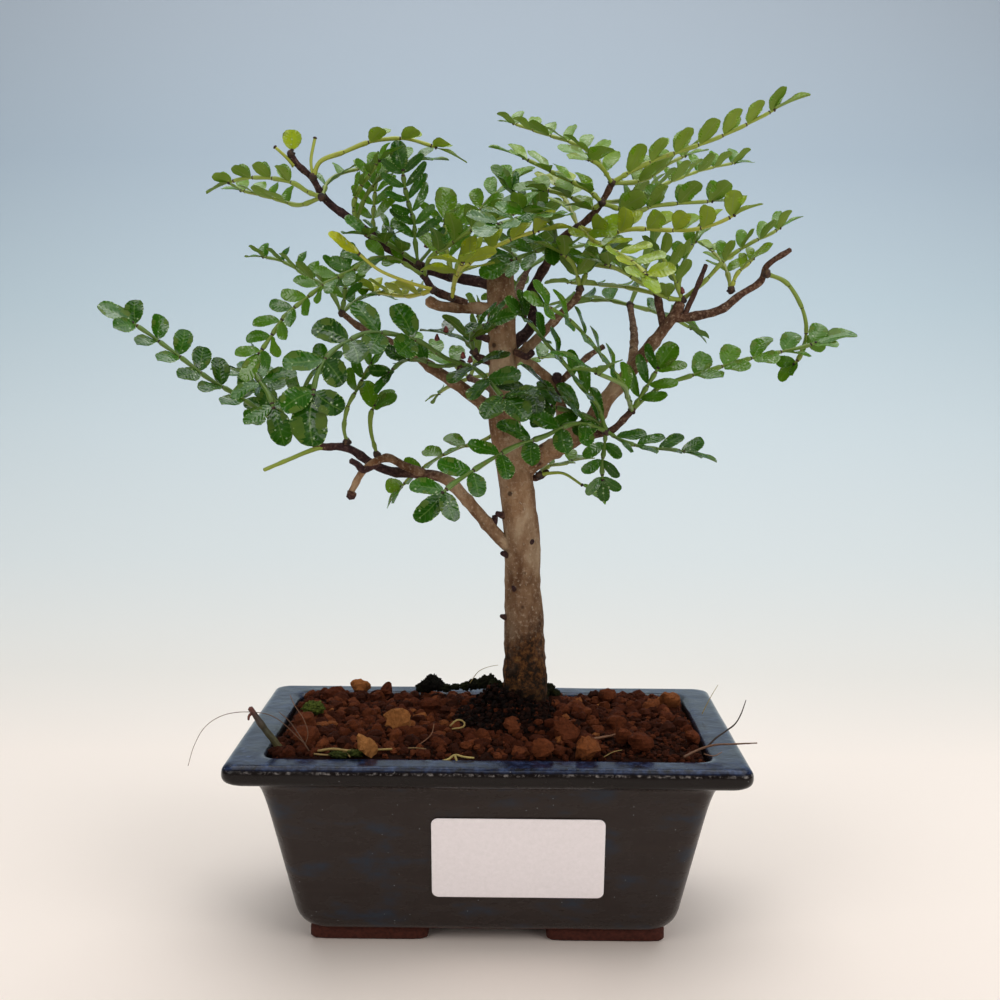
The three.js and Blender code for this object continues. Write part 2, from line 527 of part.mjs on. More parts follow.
function makeWood(extra) {
  const grown = (radii) => radii.map((radius) => radius + extra);
  const bodies = [taperedTube(TRUNK.points.map(at), grown(TRUNK.radii), ...TRUNK_TUBE)];
  for (const points of ROOTS) {
    bodies.push(taperedTube(points.map(at), grown(ROOT_RADII), ...ROOT_TUBE));
  }
  for (const [points, root, tip] of Object.values(BRANCHES)) {
    const sides = root > LIMB_TUBE.thick ? LIMB_TUBE.thickSides : LIMB_TUBE.sides;
    bodies.push(taperedTube(
      points.map(at), grown([root, tip]), sides, LIMB_TUBE.spacing, TIP_GAP - extra));
  }
  return join(bodies);
}

// Foliage: the rib's line and frame, then one thin blade whose outline runs out to each leaflet
function ribOf(spray, one, shift) {
  const [bud] = SPRAYS[spray];
  const count = one.rib.length;
  const depths = one.rib.map((_, place) => bud[2] + (one.tip + shift - bud[2]) * (place + 1) / count);
  const points = [at(bud), ...one.rib.map(([across, down], place) => at([across, down, depths[place]]))];
  return new THREE.CatmullRomCurve3(points, false, 'catmullrom', 0.5);
}

function frameAt(curve, share, one) {
  const along = curve.getTangentAt(Math.min(share, 1));
  const rise = Math.sqrt(Math.max(1 - one.face ** 2 - one.lean ** 2, 0.04));
  const top = new THREE.Vector3(one.lean, -one.face, rise);
  top.addScaledVector(along, -top.dot(along)).normalize();
  const side = new THREE.Vector3().crossVectors(along, top);
  return { middle: curve.getPointAt(Math.min(share, 1)), along, top, side };
}

// Where the last joint is, so that the end leaflet reaches the rib's last point; where the pairs sit;
// and how wide their leaflets may be beside each other
function pairsOf(one, length) {
  const reach = one.pairs > 0 ? 1 - END_SHARE * one.end / length : 1;
  const first = one.bare * reach;
  const last = reach - LAST_PAIR_GAP / length;
  const gap = one.pairs > 1 ? (last - first) / (one.pairs - 1) : last - first;
  const start = one.pairs > 1 ? first : last;
  const places = Array.from({ length: one.pairs }, (_, pair) => start + pair * gap);
  const room = one.pairs > 1 ? gap * length * Math.sin(radians(one.spread)) * LEAFLET_ROOM : Infinity;
  return { reach, places, width: Math.min(one.size * one.aspect, room) };
}

// A leaflet's rounded outline: [share of its length, share of its half width]
const OUTLINE = [[0.3, -0.94], [0.84, -0.72], [1, 0.2], [0.56, 1]];
const SMALL_OUTLINE = [[0.34, -1], [0.96, -0.4], [0.7, 0.96]];

// A leaflet's way out and its upper side: it leaves the rib by its spread, in a pair that is folded up
function wayOf({ along, top, side }, one, sideways, spread) {
  if (sideways === 0) return { out: along.clone(), upper: top.clone() };
  const fold = radians(one.fold);
  const mixed = (first, share, second, rest) => first.clone().multiplyScalar(share)
    .addScaledVector(second, rest);
  const wing = mixed(side, sideways * Math.cos(fold), top, Math.sin(fold));
  const upper = mixed(top, Math.cos(fold), side, -sideways * Math.sin(fold));
  const out = mixed(along, Math.cos(spread), wing, Math.sin(spread));
  return { out, upper };
}

function leafletPoints(root, frame, one, sideways, length, width, seed) {
  const spread = radians(one.spread + SPREAD_VARIATION * (draw(seed) - 0.5));
  const twist = radians(LEAFLET_TWIST) * (draw(seed + 1) * 2 - 1);
  const reach = length * (0.9 + 0.2 * draw(seed + 2));
  const { out, upper } = wayOf(frame, one, sideways, spread);
  const across = new THREE.Vector3().crossVectors(out, upper).multiplyScalar(Math.cos(twist))
    .addScaledVector(upper, Math.sin(twist));
  const facing = new THREE.Vector3().crossVectors(across, out).normalize();
  const outline = length < SMALL_LEAFLET ? SMALL_OUTLINE : OUTLINE;
  const points = outline.map(([far, wide]) => root.clone()
    .addScaledVector(out, far * reach)
    .addScaledVector(across, (sideways < 0 ? wide : -wide) * width / 2)
    .addScaledVector(facing, -DROOP * far * far * reach));
  return { points, facing };
}

// A blade in the making: each of its points is a pair, upper at an even index and lower at the next
function newBlade() {
  const points = [];
  const triangles = [];
  const lay = (middle, normal, thickness) => {
    points.push(middle.clone().addScaledVector(normal, thickness / 2));
    points.push(middle.clone().addScaledVector(normal, -thickness / 2));
    return points.length - 2;
  };
  const face = (a, b, c) => triangles.push(a, b, c, a + 1, c + 1, b + 1);
  const wall = (a, b) => triangles.push(a, a + 1, b + 1, a, b + 1, b);
  return { points, triangles, lay, face, wall };
}

// Lays a leaflet on a blade, between two points of its edge
function growLeaflet({ lay, face, wall }, [from, to], { points: rim, facing }, sideways) {
  const ring = [from, ...rim.map((point) => lay(point, facing, BLADE_THICKNESS)), to];
  for (let corner = 1; corner + 1 < ring.length; corner += 1) {
    if (sideways < 0) face(ring[0], ring[corner + 1], ring[corner]);
    else face(ring[0], ring[corner], ring[corner + 1]);
  }
  for (let corner = 0; corner + 1 < ring.length; corner += 1) {
    if (sideways < 0) wall(ring[corner + 1], ring[corner]);
    else wall(ring[corner], ring[corner + 1]);
  }
}

// The end leaflet is a solid of its own, rooted in the rib, because it can cross the last pair
function makeEndLeaflet(frame, one, seed) {
  const blade = newBlade();
  const root = frame.middle.clone().addScaledVector(frame.along, -END_ROOT.back);
  const [starboard, port] = [1, -1].map((way) => blade.lay(
    root.clone().addScaledVector(frame.side, way * END_ROOT.halfWidth), frame.top, END_ROOT.thickness));
  growLeaflet(blade, [starboard, port],
    leafletPoints(frame.middle, frame, one, 0, one.end, one.end * one.aspect, seed), 0);
  blade.wall(port, starboard);
  return solidOf(blade.points, blade.triangles);
}

function makeLeaf(spray, one, shift, seed) {
  const curve = ribOf(spray, one, shift);
  const length = curve.getLength();
  const { places, width } = pairsOf(one, length);
  const joint = JOINT_HALF_LENGTH / length;
  const stations = [{ share: 0, half: RIB_HALF_WIDTH }];
  if (length > LONG_RIB) {
    stations.push({ share: (places.length ? places[0] : 1) / 2, half: RIB_HALF_WIDTH });
  }
  places.forEach((place, pair) => {
    stations.push({ share: place - joint, half: WING_HALF_WIDTH });
    stations.push({ share: place + joint, half: RIB_HALF_WIDTH, pair });
  });
  if (!places.length) stations.push({ share: 1, half: RIB_HALF_WIDTH });
  const blade = newBlade();
  const { points, triangles, lay, face, wall } = blade;
  const edges = stations.map(({ share, half }) => {
    const frame = frameAt(curve, share, one);
    return {
      frame,
      port: lay(frame.middle.clone().addScaledVector(frame.side, -half), frame.top, RIB_THICKNESS),
      starboard: lay(frame.middle.clone().addScaledVector(frame.side, half), frame.top, RIB_THICKNESS),
    };
  });
  const addLeaflet = (from, to, frame, sideways, shrink, number) => {
    const root = points[from].clone().add(points[to + 1]).multiplyScalar(0.5);
    const shape = leafletPoints(
      root, frame, one, sideways, one.size * shrink, width * shrink, seed + number * 7);
    growLeaflet(blade, [from, to], shape, sideways);
  };
  wall(edges[0].port, edges[0].starboard);
  for (let place = 0; place + 1 < edges.length; place += 1) {
    const near = edges[place];
    const far = edges[place + 1];
    face(near.port, near.starboard, far.starboard);
    face(near.port, far.starboard, far.port);
    const { pair } = stations[place + 1];
    if (pair === undefined) {
      wall(far.port, near.port);
      wall(near.starboard, far.starboard);
    } else {
      const shrink = 1 - LEAFLET_SHRINK * pair / one.pairs;
      addLeaflet(near.port, far.port, far.frame, -1, shrink, pair * 2 + 1);
      addLeaflet(near.starboard, far.starboard, far.frame, 1, shrink, pair * 2 + 2);
    }
  }
  const last = edges[edges.length - 1];
  wall(last.starboard, last.port);
  const rib = solidOf(points, triangles);
  return one.end > 0 ? join([rib, makeEndLeaflet(last.frame, one, seed + 40 * 7)]) : rib;
}

// The room that a leaf takes, as balls along its rib and on its leaflets
function ballsOf(spray, one, shift) {
  const curve = ribOf(spray, one, shift);
  const length = curve.getLength();
  const { reach, places, width } = pairsOf(one, length);
  const balls = [];
  for (let share = ROOM.ribFrom; share <= reach; share += ROOM.spacing / length) {
    balls.push({ middle: curve.getPointAt(share), radius: ROOM.ribRadius });
  }
  const lay = (share, sideways, size) => {
    const frame = frameAt(curve, share, one);
    const { out } = wayOf(frame, one, sideways, radians(one.spread));
    for (const far of ROOM.leafletPlaces) {
      const middle = frame.middle.clone().addScaledVector(out, far * size);
      balls.push({ middle, radius: width * ROOM.leafletShare });
    }
  };
  for (const place of places) {
    lay(place, -1, one.size);
    lay(place, 1, one.size);
  }
  if (one.end > 0) lay(reach, 0, one.end);
  return balls;
}

function overlapOf(balls, others) {
  let total = 0;
  for (const ball of balls) {
    for (const other of others) {
      const depth = ball.radius + other.radius - ball.middle.distanceTo(other.middle);
      if (depth > 0) total += depth;
    }
  }
  return total;
}

function woodBalls() {
  const balls = [];
  const lay = (points, radii) => {
    const curve = new THREE.CatmullRomCurve3(points.map(at), false, 'catmullrom', 0.5);
    const length = curve.getLength();
    for (let share = 0; share <= 1; share += ROOM.spacing / length) {
      const radius = THREE.MathUtils.lerp(radii[0], radii[radii.length - 1], share) + ROOM.aroundWood;
      balls.push({ middle: curve.getPointAt(share), radius });
    }
  };
  lay(TRUNK.points, TRUNK.radii);
  for (const [points, root, tip] of Object.values(BRANCHES)) lay(points, [root, tip]);
  return balls;
}

// Each leaf's tip moves along its line of sight by the first shift that keeps it clear of the
// wood and of the sprays before it, or by the one that comes nearest to that.
function settleLeaves() {
  const wood = woodBalls();
  const taken = [];
  const shifts = {};
  for (const [spray, [bud, leaves]] of Object.entries(SPRAYS)) {
    const own = [];
    const middle = at(bud);
    const apart = wood.filter((ball) => ball.middle.distanceTo(middle) > ROOM.fromBud);
    const others = [...apart, ...taken];
    shifts[spray] = leaves.map((one) => {
      let best = { shift: 0, overlap: Infinity, balls: [] };
      for (const shift of TIP_SHIFTS) {
        const balls = ballsOf(spray, one, shift);
        const overlap = overlapOf(balls, others) + ROOM.ownLeaves * overlapOf(balls, own);
        if (overlap < best.overlap - 1e-6) best = { shift, overlap, balls };
        if (overlap === 0) break;
      }
      own.push(...best.balls);
      return best.shift;
    });
    taken.push(...own);
  }
  return shifts;
}

function makeSpray(spray, shifts, number) {
  const [bud, leaves] = SPRAYS[spray];
  const hub = new THREE.OctahedronGeometry(BUD_RADIUS);
  const middle = at(bud);
  hub.translate(middle.x, middle.y, middle.z);
  const blades = leaves.map((one, place) => makeLeaf(spray, one, shifts[place], number * 400 + place * 60));
  return join([solid(hub), ...blades]);
}

// Soil: the pot's filling, a mound round the trunk, and coarse grains half sunk in its surface
function makeSoil(holes) {
  const mound = new THREE.SphereGeometry(MOUND.radius, 12, 6);
  mound.rotateX(Math.PI / 2);
  mound.scale(1, MOUND.flatness, MOUND.height / MOUND.radius);
  const foot = at(MOUND.at);
  mound.translate(foot.x, foot.y, MOUND.level);
  let soil = potSkin(SOIL_SECTION).add(solid(mound));
  const halfLength = RIM_LENGTH / 2 - GRAINS.fromRim;
  const halfWidth = RIM_WIDTH / 2 - GRAINS.fromRim;
  for (let number = 0; number < GRAINS.count; number += 1) {
    const seed = number * 11 + 3;
    const x = (draw(seed) * 2 - 1) * halfLength;
    const y = (draw(seed + 1) * 2 - 1) * halfWidth;
    const size = GRAINS.smallest + (GRAINS.largest - GRAINS.smallest) * draw(seed + 2) ** 2;
    const reach = Math.hypot(x - foot.x, (y - foot.y) / MOUND.flatness) / MOUND.radius;
    const raised = MOUND.level + MOUND.height * Math.sqrt(Math.max(0, 1 - reach * reach));
    const surface = Math.max(GRAINS.level, raised);
    const grain = new THREE.OctahedronGeometry(size);
    grain.scale(1, 0.8 + 0.3 * draw(seed + 3), 0.75);
    grain.rotateZ(draw(seed + 4) * Math.PI);
    grain.rotateX(draw(seed + 5) * 0.8);
    grain.translate(x, y, surface + size * (0.5 - GRAINS.sunk));
    soil = soil.add(solid(grain));
  }
  for (const side of [-1, 1]) {
    const reach = MESH_SQUARE.side + 2 * CLEARANCE;
    const pocket = new THREE.BoxGeometry(reach, reach, 4);
    pocket.translate(side * DRAIN.fromMiddle, 0, FLOOR_TOP + MESH_SQUARE.thickness + 2 * CLEARANCE - 2);
    soil = soil.subtract(solid(pocket));
  }
  return largestBody(soil.subtract(holes));
}

// Blank label on the slanted front wall
function makeLabel() {
  const halfWidth = LABEL.width / 2;
  const halfHeight = LABEL.height / 2;
  const outline = new THREE.Shape();
  for (let corner = 0; corner < 4; corner += 1) {
    const x = (corner === 0 || corner === 3 ? 1 : -1) * (halfWidth - LABEL.corner);
    const y = (corner < 2 ? 1 : -1) * (halfHeight - LABEL.corner);
    outline.absarc(x, y, LABEL.corner, corner * Math.PI / 2, (corner + 1) * Math.PI / 2, false);
  }
  const plate = new THREE.ExtrudeGeometry(
    outline, { depth: LABEL.thickness, bevelEnabled: false, curveSegments: 2 });
  const [, , low, high] = POT_SECTION;
  const slope = Math.atan2(high[0] - low[0], high[1] - low[1]);
  plate.rotateX(Math.PI / 2 - slope);
  const inset = low[0] + (high[0] - low[0]) * (LABEL.level - low[1]) / (high[1] - low[1]);
  const wall = -RIM_WIDTH / 2 + inset;
  const gap = CLEARANCE / Math.cos(slope);
  plate.translate(at([LABEL.across, LABEL.down, wall]).x, wall - gap, LABEL.level);
  return solid(plate);
}

// The whole plant in its pot
const wood = makeWood(0);
const woodRoom = makeWood(CLEARANCE);
const twig = taperedTube(TWIG.points.map(at), [TWIG.radius, TWIG.tip], 6, 6);
const twigRoom = taperedTube(TWIG.points.map(at), [TWIG.radius + CLEARANCE, TWIG.tip + CLEARANCE], 6, 6);
addPiece('pot', makePot(), '#232a38', 0.35);
addPiece('label', makeLabel(), '#f1f2f3', 0.6);
addPiece('drain_mesh_left', meshSquare(-1), '#202020', 0.7);
addPiece('drain_mesh_right', meshSquare(1), '#202020', 0.7);
addPiece('soil', makeSoil(woodRoom.add(twigRoom)), '#5a2a1a', 0.95);
addPiece('twig', twig, '#6b6a3a', 0.8);
addPiece('trunk_and_branches', wood, '#8b7a6a', 0.85);

const shifts = settleLeaves();
const placed = [];
Object.keys(SPRAYS).forEach((spray, number) => {
  let body = makeSpray(spray, shifts[spray], number + 1).subtract(woodRoom);
  for (const other of placed) {
    if (!body.intersect(other).isEmpty()) body = body.subtract(other);
  }
  body = largestBody(body);
  placed.push(body);
  addPiece(spray, body, YOUNG_SPRAYS.has(spray) ? '#93a03a' : '#3f6f2a', 0.45);
});

// The bounding box's bottom middle goes to the origin
const box = new THREE.Box3().setFromObject(bonsai);
bonsai.position.set(-(box.min.x + box.max.x) / 2, -(box.min.y + box.max.y) / 2, -box.min.z);
bonsai.updateMatrixWorld(true);

export default bonsai;
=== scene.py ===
# A Chinese pepper bonsai in its glazed pot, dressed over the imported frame. Pieces are worked out in
# millimetres, in the photograph's view or on the pot's own sizes, and laid into metres when they are made.
import json
import math
from functools import partial
import bpy
import numpy as np
from mathutils import Matrix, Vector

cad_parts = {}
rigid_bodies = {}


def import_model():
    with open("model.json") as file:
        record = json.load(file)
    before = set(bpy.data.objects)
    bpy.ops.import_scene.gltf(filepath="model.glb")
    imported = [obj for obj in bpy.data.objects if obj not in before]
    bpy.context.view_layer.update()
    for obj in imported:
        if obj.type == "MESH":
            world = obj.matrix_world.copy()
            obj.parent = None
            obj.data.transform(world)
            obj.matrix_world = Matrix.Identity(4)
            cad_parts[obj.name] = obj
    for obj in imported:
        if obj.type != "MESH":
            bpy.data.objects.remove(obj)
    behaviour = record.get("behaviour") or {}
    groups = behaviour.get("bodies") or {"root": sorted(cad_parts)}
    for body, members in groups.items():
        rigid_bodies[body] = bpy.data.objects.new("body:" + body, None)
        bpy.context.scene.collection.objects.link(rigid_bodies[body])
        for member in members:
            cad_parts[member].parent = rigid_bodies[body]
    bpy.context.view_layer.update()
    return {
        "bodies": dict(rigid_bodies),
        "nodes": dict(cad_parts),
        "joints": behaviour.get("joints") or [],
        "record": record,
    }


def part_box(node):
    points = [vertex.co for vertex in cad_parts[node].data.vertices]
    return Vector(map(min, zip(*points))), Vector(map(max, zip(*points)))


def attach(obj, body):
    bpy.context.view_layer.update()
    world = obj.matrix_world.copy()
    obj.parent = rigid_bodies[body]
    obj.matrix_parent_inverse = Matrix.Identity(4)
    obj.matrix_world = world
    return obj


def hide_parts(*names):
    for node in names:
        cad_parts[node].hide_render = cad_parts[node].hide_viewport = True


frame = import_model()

MM = 0.001

# Sizes that the solids are made with, in millimetres
RIM_LENGTH = 152
RIM_WIDTH = 97
RIM_CORNER_RADIUS = 4
CORNER_GROWTH = 0.15
POT_HEIGHT = 61
POT_BASE = 4
FLOOR_TOP = 10
DRAIN_RADIUS = 6
DRAIN_FROM_MIDDLE = 26
FOOT_SIZE = (36, 14)
FOOT_FROM_MIDDLE = (18, 11)
SOIL_EDGE = 11.6
LABEL_SIZE = (51, 26.4)
LABEL_PLACE = (518, 858)
LABEL_LEVEL = 30
MOUND_RADIUS = 24
BUD_RADIUS = 1.5
LEAFLET_TWIST = math.radians(20)

# The view that the plant was drawn from: its station, aim and focal length, for a picture 1000 wide
STATION = np.array([6.4, -423.0, 179.0])
YAW = math.radians(-0.48)
PITCH = math.radians(6.3)
ROLL = math.radians(0.37)
FOCAL = 1365
MIDDLE = 500
AHEAD = np.array([math.sin(YAW) * math.cos(PITCH), math.cos(YAW) * math.cos(PITCH), -math.sin(PITCH)])
LEVEL = np.array([math.cos(YAW), -math.sin(YAW), 0.0])
UPRIGHT = np.cross(LEVEL, AHEAD)
RIGHT = LEVEL * math.cos(ROLL) + UPRIGHT * math.sin(ROLL)
ABOVE = UPRIGHT * math.cos(ROLL) - LEVEL * math.sin(ROLL)

# The solids were moved so that their box stands on the origin: the pot's middle tells by how much
POT_BOX = np.array(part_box("pot")) / MM
POT_MIDDLE = np.array([POT_BOX[:, 0].mean(), POT_BOX[:, 1].mean(), 0.0])


# Camera
def make_camera():
    """A camera at the station, with the view's right, above and back as its axes."""
    lens = bpy.data.cameras.new("camera")
    lens.sensor_width = 36
    lens.lens = FOCAL * 36 / 1000
    lens.clip_start = 0.01
    camera = bpy.data.objects.new("camera", lens)
    bpy.context.scene.collection.objects.link(camera)
    turn = np.eye(4)
    turn[:3, 0] = RIGHT
    turn[:3, 1] = ABOVE
    turn[:3, 2] = -AHEAD
    turn[:3, 3] = (STATION + POT_MIDDLE) * MM
    camera.matrix_world = Matrix(turn.tolist())
    bpy.context.scene.camera = camera


# Points, draws and lumps
def seen_at(points):
    """Where points of the view lie. A point is (across, down, depth): its line of sight goes along
    ahead * focal + right * (across - 500) + above * (500 - down) until it is that deep, in millimetres
    behind the pot's middle."""
    points = np.asarray(points, float)
    sight = AHEAD * FOCAL + RIGHT * (points[..., :1] - MIDDLE) + ABOVE * (MIDDLE - points[..., 1:2])
    return STATION + sight * (points[..., 2:] - STATION[1]) / sight[..., 1:2]


def seen_on(points, height):
    """Where (across, down) of the view meets a level at that height."""
    points = np.asarray(points, float)
    sight = AHEAD * FOCAL + RIGHT * (points[..., :1] - MIDDLE) + ABOVE * (MIDDLE - points[..., 1:2])
    return STATION + sight * (np.asarray(height) - STATION[2]) / sight[..., 2:]


def unit(vectors):
    """Each vector divided by its length."""
    return vectors / np.maximum(np.linalg.norm(vectors, axis=-1, keepdims=True), 1e-9)


def draw(seed):
    """Seeded draws from 0 to 1: what follows the point in sin(seed * 12.9898) * 43758.5453."""
    value = np.sin(np.asarray(seed, float) * 12.9898) * 43758.5453
    return value - np.floor(value)


def lumps(points, cell, seed=0.0):
    """Smooth lumps from -1 to 1: a draw at each corner of a lattice of that cell, blended along each
    axis by 3t² - 2t³."""
    place = np.asarray(points) / cell
    low = np.floor(place)
    share = place - low
    share = share * share * (3 - 2 * share)
    total = np.zeros(place.shape[:-1])
    for corner in np.ndindex(2, 2, 2):
        weight = np.prod(np.where(np.array(corner) == 1, share, 1 - share), axis=-1)
        total += weight * draw((low + corner) @ np.array([15.73, 113.9, 57.17]) + seed)
    return 2 * total - 1


def smooth_line(points):
    """A Catmull-Rom curve through the points, as a fine line and the length up to each of its points."""
    points = np.asarray(points, float)
    held = np.vstack([2 * points[0] - points[1], points, 2 * points[-1] - points[-2]])
    before, start, end, after = (held[k:len(held) - 3 + k, None] for k in range(4))
    t = np.linspace(0, 1, 24, endpoint=False)[None, :, None]
    line = 0.5 * (2 * start + (end - before) * t + (2 * before - 5 * start + 4 * end - after) * t ** 2
                  + (3 * start - before - 3 * end + after) * t ** 3)
    line = np.vstack([line.reshape(-1, 3), points[-1:]])
    lengths = np.concatenate([[0], np.cumsum(np.linalg.norm(np.diff(line, axis=0), axis=1))])
    return line, lengths


def on_line(line, lengths, share):
    """The line's point and direction at shares of its length."""
    def point(place):
        return np.stack([np.interp(place, lengths, line[:, axis]) for axis in range(3)], axis=-1)
    place = np.asarray(share) * lengths[-1]
    step = 0.004 * lengths[-1]
    ahead = point(np.minimum(place + step, lengths[-1]))
    behind = point(np.maximum(place - step, 0))
    return point(place), unit(ahead - behind)


# Skins
def closed_skin(rings, poles, along, around, kinds=0, tint=0.0, rim=()):
    """Closed skins over stacks of rings. rings is (copies, stations, places, 3), and poles (copies, 2, 3)
    holds a point before the first ring and one after the last. Each place joins its neighbour and the
    next ring by a four-sided face, and fans close both ends. along has a UV value for each pole and
    station, around one for each place and the first again; kinds is the finish of each place's faces;
    rim names the places whose edges along the skin stay crisp."""
    copies, stations, places = rings.shape[:3]
    points = np.concatenate([rings.reshape(copies, -1, 3), poles], axis=1)
    size = points.shape[1]
    station, place = np.meshgrid(np.arange(stations - 1), np.arange(places), indexing="ij")
    after = (place + 1) % places
    quads = np.stack([station * places + place, station * places + after, (station + 1) * places + after,
                      (station + 1) * places + place], axis=-1).reshape(-1, 4)
    one = np.arange(places)
    following = (one + 1) % places
    last = (stations - 1) * places
    tris = np.concatenate([
        np.stack([np.full(places, size - 2), following, one], axis=-1),
        np.stack([np.full(places, size - 1), last + one, last + following], axis=-1)])
    along = np.broadcast_to(along, (copies, stations + 2))
    around = np.asarray(around, float)
    near, far = along[:, 1:-2], along[:, 2:-1]
    quad_uv = np.empty((copies, stations - 1, places, 4, 2))
    quad_uv[..., 0, 0] = quad_uv[..., 1, 0] = near[:, :, None]
    quad_uv[..., 2, 0] = quad_uv[..., 3, 0] = far[:, :, None]
    quad_uv[..., 0, 1] = quad_uv[..., 3, 1] = around[:-1]
    quad_uv[..., 1, 1] = quad_uv[..., 2, 1] = around[1:]
    tri_uv = np.empty((copies, 2, places, 3, 2))
    tri_uv[..., 0, 0] = along[:, [0, -1], None]
    tri_uv[..., 1:, 0] = along[:, [1, -2], None, None]
    tri_uv[..., 0, 1] = (around[:-1] + around[1:]) / 2
    tri_uv[:, 0, :, 1, 1] = tri_uv[:, 1, :, 2, 1] = around[1:]
    tri_uv[:, 0, :, 2, 1] = tri_uv[:, 1, :, 1, 1] = around[:-1]
    kind = np.broadcast_to(kinds, (places,))
    shade = np.broadcast_to(tint, (copies, stations, places)).reshape(copies, -1)
    crisp = np.zeros((stations, places), bool)
    crisp[:, list(rim)] = True
    crisp = np.concatenate([crisp.ravel(), [len(rim) > 0] * 2])
    shift = (np.arange(copies) * size)[:, None, None]
    return {
        "points": points.reshape(-1, 3),
        "quads": (quads + shift).reshape(-1, 4),
        "quad_uv": quad_uv.reshape(-1, 4, 2),
        "quad_kind": np.tile(kind, copies * (stations - 1)),
        "tris": (tris + shift).reshape(-1, 3),
        "tri_uv": tri_uv.reshape(-1, 3, 2),
        "tri_kind": np.tile(kind, copies * 2),
        "tint": np.concatenate([shade, shade[:, :1], shade[:, -1:]], axis=1).ravel(),
        "rim": np.tile(crisp, copies),
    }


def open_skin(rings, along, around):
    """A skin over rings without its ends, for a piece whose other skins meet them."""
    poles = np.stack([rings[:, 0, 0], rings[:, -1, 0]], axis=1)
    skin = closed_skin(rings, poles, along, around)
    return {**skin, **{key: skin[key][:0] for key in ("tris", "tri_uv", "tri_kind")}}


def welded(whole):
    """The skin with points that lie within a thousandth of a millimetre made one."""
    _, first, index = np.unique(np.round(whole["points"], 3), axis=0, return_index=True,
                                return_inverse=True)
    index = index.ravel()
    return {**whole, "points": whole["points"][first], "tint": whole["tint"][first],
            "rim": whole["rim"][first], "quads": index[whole["quads"]], "tris": index[whole["tris"]]}


def joined(skins):
    """Several skins as one, with each skin's faces counted on from the one before."""
    counts = np.cumsum([0] + [len(skin["points"]) for skin in skins])
    whole = {key: np.concatenate([skin[key] for skin in skins]) for key in skins[0]}
    for key in ("quads", "tris"):
        whole[key] = np.concatenate([skin[key] + start for skin, start in zip(skins, counts)])
    return whole


def make_piece(name, skins, finishes, stands_for=(), weld=False, smooth=True):
    """A piece of the object from its skins, with its UV map, its tint and its crisp edges."""
    whole = welded(joined(skins)) if weld else joined(skins)
    mesh = bpy.data.meshes.new(name)
    mesh.vertices.add(len(whole["points"]))
    mesh.vertices.foreach_set("co", ((whole["points"] + POT_MIDDLE) * MM).ravel())
    corners = np.concatenate([whole["quads"].ravel(), whole["tris"].ravel()])
    totals = np.concatenate([np.full(len(whole["quads"]), 4), np.full(len(whole["tris"]), 3)])
    mesh.loops.add(len(corners))
    mesh.loops.foreach_set("vertex_index", corners)
    mesh.polygons.add(len(totals))
    mesh.polygons.foreach_set("loop_start", np.cumsum(totals) - totals)
    mesh.polygons.foreach_set("material_index", np.concatenate([whole["quad_kind"], whole["tri_kind"]]))
    mesh.polygons.foreach_set("use_smooth", np.full(len(totals), smooth))
    mesh.update(calc_edges=True)
    uv = mesh.uv_layers.new(name="UVMap")
    uv.data.foreach_set("uv", np.concatenate([whole["quad_uv"].ravel(), whole["tri_uv"].ravel()]))
    mesh.attributes.new("tint", "FLOAT", "POINT").data.foreach_set("value", whole["tint"])
    edges = np.empty(len(mesh.edges) * 2, int)
    mesh.edges.foreach_get("vertices", edges)
    crisp = whole["rim"][edges.reshape(-1, 2)].all(axis=1)
    mesh.attributes.new("sharp_edge", "BOOLEAN", "EDGE").data.foreach_set("value", crisp)
    for finish in finishes:
        mesh.materials.append(finish)
    piece = bpy.data.objects.new(name, mesh)
    bpy.context.scene.collection.objects.link(piece)
    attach(piece, "root")
    if stands_for:
        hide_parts(*stands_for)
    return piece


# Pot
# The wall in section, from the base up, over the rim and down inside. A corner is (inset from the rim's
# outer edge, height, bend)
POT_SECTION = [
    (24, POT_BASE, 0), (20.5, 5.2, 2), (18.2, 9, 3), (10.6, 47, 8), (8.4, 53.4, 4), (1.4, 55, 1.4),
    (0, 56.6, 1.4), (0, 59.6, 1.3), (1.4, POT_HEIGHT, 1.3), (9.6, POT_HEIGHT, 1.5), (10.8, 59.8, 1.5),
    (14.2, 50, 4), (21.6, 15, 4), (25, FLOOR_TOP, 0),
]
BEND_POINTS = 7
# The rim's upper outer corner, counted from 0, has a pale line along the middle of its bend, partly wear
# and partly a painted highlight
PALE_EDGE_CORNER = 7


def rounded_path(section):
    """The section's corners rounded: between points a bend before and after a corner it follows
    (1-t)² start + 2t(1-t) corner + t² end."""
    points = np.array([corner[:2] for corner in section], float)
    bends = np.array([corner[2] for corner in section], float)[1:-1, None]
    corners = points[1:-1]
    back, on = points[:-2] - corners, points[2:] - corners
    room_back, room_on = (0.45 * np.linalg.norm(way, axis=1, keepdims=True) for way in (back, on))
    start = corners + unit(back) * np.minimum(bends, room_back)
    end = corners + unit(on) * np.minimum(bends, room_on)
    t = np.linspace(0, 1, BEND_POINTS)[None, :, None]
    bent = (1 - t) ** 2 * start[:, None] + 2 * t * (1 - t) * corners[:, None] + t ** 2 * end[:, None]
    return np.vstack([points[:1], bent.reshape(-1, 2), points[-1:]])


